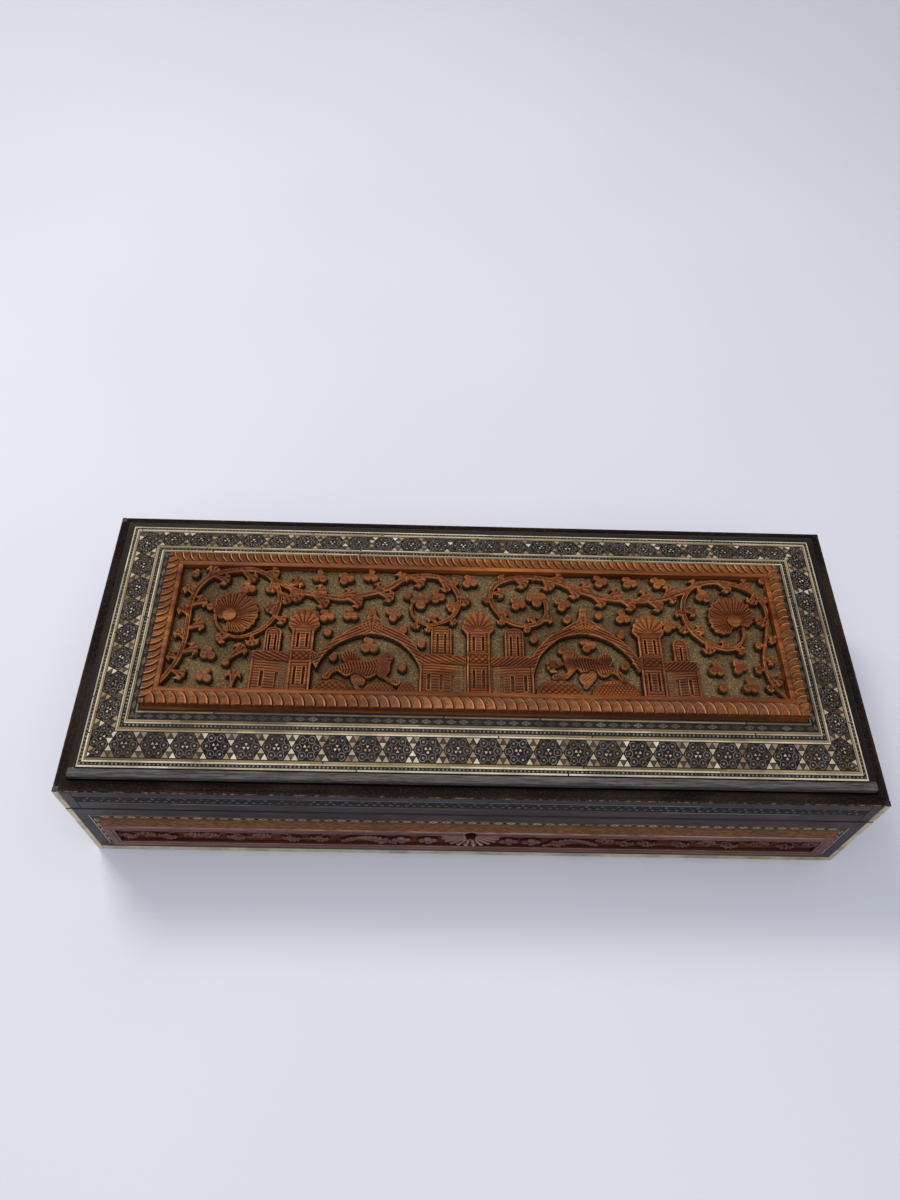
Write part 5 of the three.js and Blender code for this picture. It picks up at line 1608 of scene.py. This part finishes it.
def rim_band(quarter, plane, half):
    """The lines round the seam and the rim, and a dark band of trefoils. The black lines at the seam are
    painted shadow.
    """
    rail = half - STILE_WIDTH
    lines(case_inlay, plane, half - CORNER_STRIP, (), [CASE_SEAM_LINE])
    if quarter != HINGED:
        lines(rim_inlay, plane, half - CORNER_STRIP, (), [LID_SEAM_LINE])
    lines(rim_inlay, plane, rail, (), RIM_LINES)
    for side in (-1, 1):
        rim_inlay.lay(plane, post(side, rail, rail + 0.4, 43.2, 57.0), "black", 1, 0.3)
    rim_inlay.lay(plane, bar(-rail, rail, RIM_MIDDLE - 2.3, RIM_MIDDLE + 2.4), "black", 1, 0.3)
    count = int(rail / RIM_PITCH)
    for i in range(-count, count + 1):
        if abs(i * RIM_PITCH) <= rail - 2.5:
            trefoil(plane, i * RIM_PITCH)


for quarter in range(4):
    case_band(wall_plane(quarter), wall_size(quarter)[0])
    rim_band(quarter, wall_plane(quarter), wall_size(quarter)[0])
rim_inlay.lay(wall_plane(0), RIM_CHIP, "black", 3, 0.0)
case_inlay.lay(wall_plane(0), CASE_CHIP, "black", 3, 0.0)
case_inlay.piece("wall_mosaic_slips", "case")
rim_inlay.piece("rim_mosaic_slips", "lid")

# %% [markdown]
# ## Carved wall panels
# Each wall panel stands proud of the veneer and is bevelled back along its top.
# Inside a flat border runs a wavy stem with clusters of leaves, and in the middle a fan opens downwards.
# On the front, the keyhole goes through the fan.
# The panels of the back and the ends follow the front one.

# %% Carve the walls
FACE, SUNK = 1.8, 0.4
PANEL_INSET, PANEL_BORDER = 9.5, 3.6
PANEL_FOOT, PANEL_HEAD, BEVEL_FOOT = 10.3, 32.9, 28.8
FIELD_FOOT, FIELD_HEAD = 13.8, 25.6
SLOT_HALF, SLOT_LENGTH, KEYHOLE_FLOOR = 1.85, 6.6, -1.2
FIELD_MIDDLE = (FIELD_FOOT + FIELD_HEAD) / 2
LONG_SCROLL_END, SHORT_SCROLL_END, WING_START, FAN_REACH = 50.5, 12.5, 30.5, 11.2
SPRIGS_LEFT = (-128.6, -121.7, -113.8, -103.9, -98.0, -88.2, -78.6, -67.6, -57.0)
SPRIGS_RIGHT = (50.6, 58.4, 66.6, 79.6, 89.3, 98.4, 109.6, 119.8, 129.6)
SPRIGS_END = (-44.5, -36.0, -27.5, -19.0, 19.0, 27.5, 36.0, 44.5)
FLOWERS_FRONT = (-26.2, -16.2, 14.4, 22.9)


def fan(relief, head, reach, deep):
    """A half rosette that opens downwards, with a lobed edge."""
    w = relief.part(-reach, reach, head - deep, head)
    X, Y = relief.X[w], relief.Y[w] - head
    turn = np.arctan2(-Y - 0.4, X)
    away = np.hypot(X / reach, Y / deep)
    ray = np.abs(np.cos(turn * 11))
    edge = np.minimum((0.93 + 0.08 * ray - away) * deep, 0.2 - Y)
    cut = 0.8 * (1 - ray) * np.clip(away * 2.6 - 0.6, 0, 1)
    relief.keep(w, edge, 0.05 + cut, soft=0.35, fall=0.3)
    # Painted highlight along the ridges of the rays.
    relief.ridge[w] = 0.8 * ray ** 4 * (edge > 0)


def wing(relief, x, y, way):
    """A long leaf of feathers swept outwards from a curled stalk. Way is 1 to the right."""
    for i in range(9):
        start = (x + way * i * 1.75, y - 3.2 + 5.6 * math.sin(0.32 * i + 0.25))
        tip = (start[0] + way * 3.4, start[1] - 2.0 + 0.12 * i)
        xs, ys = (start[0], tip[0]), (start[1], tip[1])
        w = relief.part(min(xs) - 1, max(xs) + 1, min(ys) - 1, max(ys) + 1)
        feather = taper(*relief.grid(w), start, 0.62, tip, 0.85)
        relief.keep(w, feather, 0.1 + 0.25 * groove(feather, 0.4, 0.14), soft=0.3, fall=0.3)
    stalk = ((-2.2, -4.6), (-0.6, -3.6), (0.6, -1.8), (1, 0))
    stem(relief, [(x + way * aside, y + rise) for aside, rise in stalk], 0.7)


def sprig(relief, x, y, rise):
    """Two small leaves and a bud on one stalk. Rise is 1 where it stands up and -1 where it hangs."""
    leaf(relief, x, y - rise * 1.8, x - 2.4, y + rise * 0.6, 0.35)
    leaf(relief, x, y - rise * 1.6, x + 2.6, y + rise * 1.2, 0.1)
    pellets(relief, [(x - 0.2, y + rise * 1.9, 0.8)], 0.2)


def blossom(relief, x, y):
    """A flower that lies on its side, with four lobes over one another."""
    lobes = ((-2.1, -0.5, 1.35), (0.1, 1.0, 1.45), (2.3, -0.1, 1.4), (0.4, -1.5, 1.5))
    pellets(relief, [(x + aside, y + rise, radius) for aside, rise, radius in lobes])


def wave_height(x):
    """The height of the wavy stem of a wall panel."""
    return FIELD_MIDDLE + 2.6 * math.sin(x * 0.33)


def wall_scroll(relief, places, from_x, to_x):
    """A wavy stem with a cluster on either side in turn."""
    count = int(abs(to_x - from_x) / 3.2)
    line = [from_x + (to_x - from_x) * i / count for i in range(count + 1)]
    stem(relief, [(x, wave_height(x)) for x in line], 0.5, 0.35, 0.85)
    for x in places:
        rise = 1 if wave_height(x) < FIELD_MIDDLE else -1
        sprig(relief, x, FIELD_MIDDLE + rise * chance.uniform(0.6, 1.4), rise)


def wall_relief(half):
    """The bevelled panel of one wall, with its sunk field still empty."""
    reach = half - PANEL_INSET
    relief = Relief(-reach, reach, PANEL_FOOT, PANEL_HEAD, 0.2, SUNK, FACE)
    X, Y = relief.X, relief.Y
    edge = np.maximum(np.abs(X) - reach + PANEL_BORDER, np.maximum(FIELD_FOOT - Y, Y - FIELD_HEAD))
    sloped = np.clip((Y - BEVEL_FOOT) / (PANEL_HEAD - BEVEL_FOOT), 0, 1) * FACE
    lines = 0.2 * groove(edge, 1.0, 0.14)
    relief.height = np.where(edge > -relief.snap, FACE - sloped - lines, SUNK)
    relief.reach = edge.copy()
    return relief


def cut_keyhole(relief):
    """Cuts the keyhole down to the board behind and returns the grid points that fall inside it."""
    w = relief.part(-3, 3, KEYHOLE - 7, KEYHOLE + 3)
    X, Y = relief.grid(w)
    slot = np.minimum(SLOT_HALF - np.abs(X), np.minimum(Y - KEYHOLE + SLOT_LENGTH, KEYHOLE - Y))
    opening = np.maximum(disc(X, Y, 0, KEYHOLE, KEYHOLE_RADIUS), slot)
    relief.sink(w, opening, KEYHOLE_FLOOR)
    hole = np.zeros(relief.X.shape, bool)
    hole[w] = opening > relief.snap
    return hole


def skirt_round(shape, count):
    """The grid points along the border of a field, and the faces of a skirt that hangs from them."""
    rows, columns = shape
    rim = np.concatenate([
        np.arange(columns), np.arange(1, rows) * columns + columns - 1,
        (rows - 1) * columns + np.arange(columns - 2, -1, -1), np.arange(rows - 2, 0, -1) * columns,
    ])
    skirt = np.arange(len(rim)) + count
    after = np.roll(np.arange(len(rim)), -1)
    sides = [np.stack([rim[after], rim, skirt], 1), np.stack([rim[after], skirt, skirt[after]], 1)]
    return rim, np.concatenate(sides)


def wall_forms(relief, quarter, half):
    """Scrolls from both ends towards the fan in the middle. The long walls have wings and flowers as well."""
    inner = half - PANEL_INSET - PANEL_BORDER
    if quarter % 2 == 0:
        wall_scroll(relief, SPRIGS_LEFT, -inner, -LONG_SCROLL_END)
        wall_scroll(relief, SPRIGS_RIGHT, inner, LONG_SCROLL_END)
        for x in FLOWERS_FRONT:
            blossom(relief, x, FIELD_MIDDLE - 0.4)
        for way in (1, -1):
            wing(relief, way * WING_START, FIELD_MIDDLE, way)
    else:
        wall_scroll(relief, [x for x in SPRIGS_END if x < 0], -inner, -SHORT_SCROLL_END)
        wall_scroll(relief, [x for x in SPRIGS_END if x > 0], inner, SHORT_SCROLL_END)
    fan(relief, FIELD_HEAD, FAN_REACH, FIELD_HEAD - FIELD_FOOT - 0.3)


def carve_wall(quarter, name):
    half = wall_size(quarter)[0]
    relief = wall_relief(half)
    wall_forms(relief, quarter, half)
    hole = cut_keyhole(relief) if name == "front" else np.zeros(relief.X.shape, bool)
    A, B, out, faces, numbers = relief.surface(0.06)
    out = np.where(hole, KEYHOLE_FLOOR, np.minimum(out, FACE))
    faces = faces[~hole.ravel()[faces].all(1)]
    numbers["bevel"] = np.clip((B - BEVEL_FOOT - 0.2) / 0.3, 0, 1)
    # Painted highlight, broken where worn, along the foot of the bevel.
    numbers["edge"] = np.maximum(numbers["edge"], 0.8 * groove(B, BEVEL_FOOT + 0.2, 0.35))
    numbers["depth"] = np.where(B > FIELD_HEAD + 0.4, 0.0, numbers["depth"])
    rim, sides = skirt_round(A.shape, A.size)
    flat = [np.append(part.ravel(), part.ravel()[rim]) for part in (A, B, out)]
    flat[2][A.size:] = -0.1
    numbers = {label: np.append(part.ravel(), part.ravel()[rim]) for label, part in numbers.items()}
    points = np.stack(wall_plane(quarter)(*flat), 1)
    made = piece_from(
        name + "_wall_carving", points, np.concatenate([faces, sides]), "case",
        [wall_carving["xy"[quarter % 2]]], numbers, stands_for=[name + "_carved_panel"],
    )
    made.data.shade_smooth()
    made.data.set_sharp_from_angle(angle=math.radians(42))
    flat_map(made, quarter % 2, 2, -half, half)
    print(made.name + ":", len(faces), "triangles")


for quarter, name in enumerate(WALLS):
    carve_wall(quarter, name)

# %% [markdown]
# ## Plain parts
# Veneers, edgings and mouldings keep the shape that they have in the frame, with their sharp edges worn.
# The boards of the carcass, the lock and the hinges only need their finish.

# %% Finish of the plain parts
def on_the_outside(x, y, z):
    """Whether a point in metres lies on the outer face of a wall, at any height."""
    return max(abs(x) / MM - WALL_X, abs(y) / MM - WALL_Y) > -0.2


for quarter, wall in enumerate(WALLS):
    along = "xy"[quarter % 2]
    soften(wall + "_facing", 0.12, facings[along])
    soften("lid_" + wall + "_rim_facing", 0.5, rims[along], on_the_outside)
    soften(wall + "_base_edging", 0.18, bone)
    nodes[wall + "_mosaic_frame"].data.materials[0] = ebony[along]
    for board in (wall + "_board", "lid_" + wall + "_rail"):
        nodes[board].data.materials[0] = plain[along]
for corner in ("front_right", "back_right", "back_left", "front_left"):
    soften("case_" + corner + "_corner_strip", 0.25, bone, on_the_outside)
    soften("lid_" + corner + "_corner_strip", 0.4, capped_bone, on_the_outside)
nodes["lid_top_board"].data.materials[0] = lid_board
soften("lid_bevel_moulding", 0.6, slate)
nodes["lid_mosaic_border"].data.materials[0] = ebony["x"]
nodes["bottom_board"].data.materials[0] = plain["x"]
for name, part in nodes.items():
    if name.startswith("hinge_") or name in ("lock_case", "lock_link_plate"):
        part.data.materials[0] = brass
nodes["lock_bolt"].data.materials[0] = steel
print("plain parts finished")

# %% [markdown]
# ## Floor and light
# A plain pale floor under a wide soft light overhead,
# with a warmer lamp high and behind that brings out the relief.

# %% Floor and lights
def floor_recipe():
    recipe = Recipe("floor")
    cloud = recipe.noise(recipe.place, scale=3, detail=2)
    base = recipe.ramp(cloud, (0.3, colour(213, 214, 223)), (0.7, colour(219, 220, 229)))
    return recipe.finish(base, 0.85, sheen=0.2)


floor_mesh = bpy.data.meshes.new("floor")
floor_mesh.from_pydata([(-3, -3, 0), (3, -3, 0), (3, 3, 0), (-3, 3, 0)], [], [(0, 1, 2, 3)])
floor_mesh.materials.append(floor_recipe())
floor = bpy.data.objects.new("floor", floor_mesh)
floor.location.z = -0.0002
bpy.context.scene.collection.objects.link(floor)


def lamp(name, place, target, size, power, tint):
    data = bpy.data.lights.new(name, "AREA")
    data.shape = "SQUARE"
    data.size = size
    data.energy = power
    data.color = tint
    made = bpy.data.objects.new(name, data)
    made.location = place
    made.rotation_euler = (Vector(target) - Vector(place)).to_track_quat("-Z", "Y").to_euler()
    bpy.context.scene.collection.objects.link(made)


lamp("window_light", (-0.5, 0.5, 1.05), (0, 0, 0.05), 0.4, 7.6, (1, 0.96, 0.9))
lamp("overhead_light", (0, -0.5, 1.65), (0, 0, 0), 2.0, 24, (0.93, 0.95, 1))

world = bpy.data.worlds.new("world")
bpy.context.scene.world = world
world.use_nodes = True
world.node_tree.nodes["Background"].inputs["Color"].default_value = (0.86, 0.9, 1, 1)
world.node_tree.nodes["Background"].inputs["Strength"].default_value = 0.2
bpy.context.scene.view_settings.view_transform = "Standard"
print("floor and lights ready")
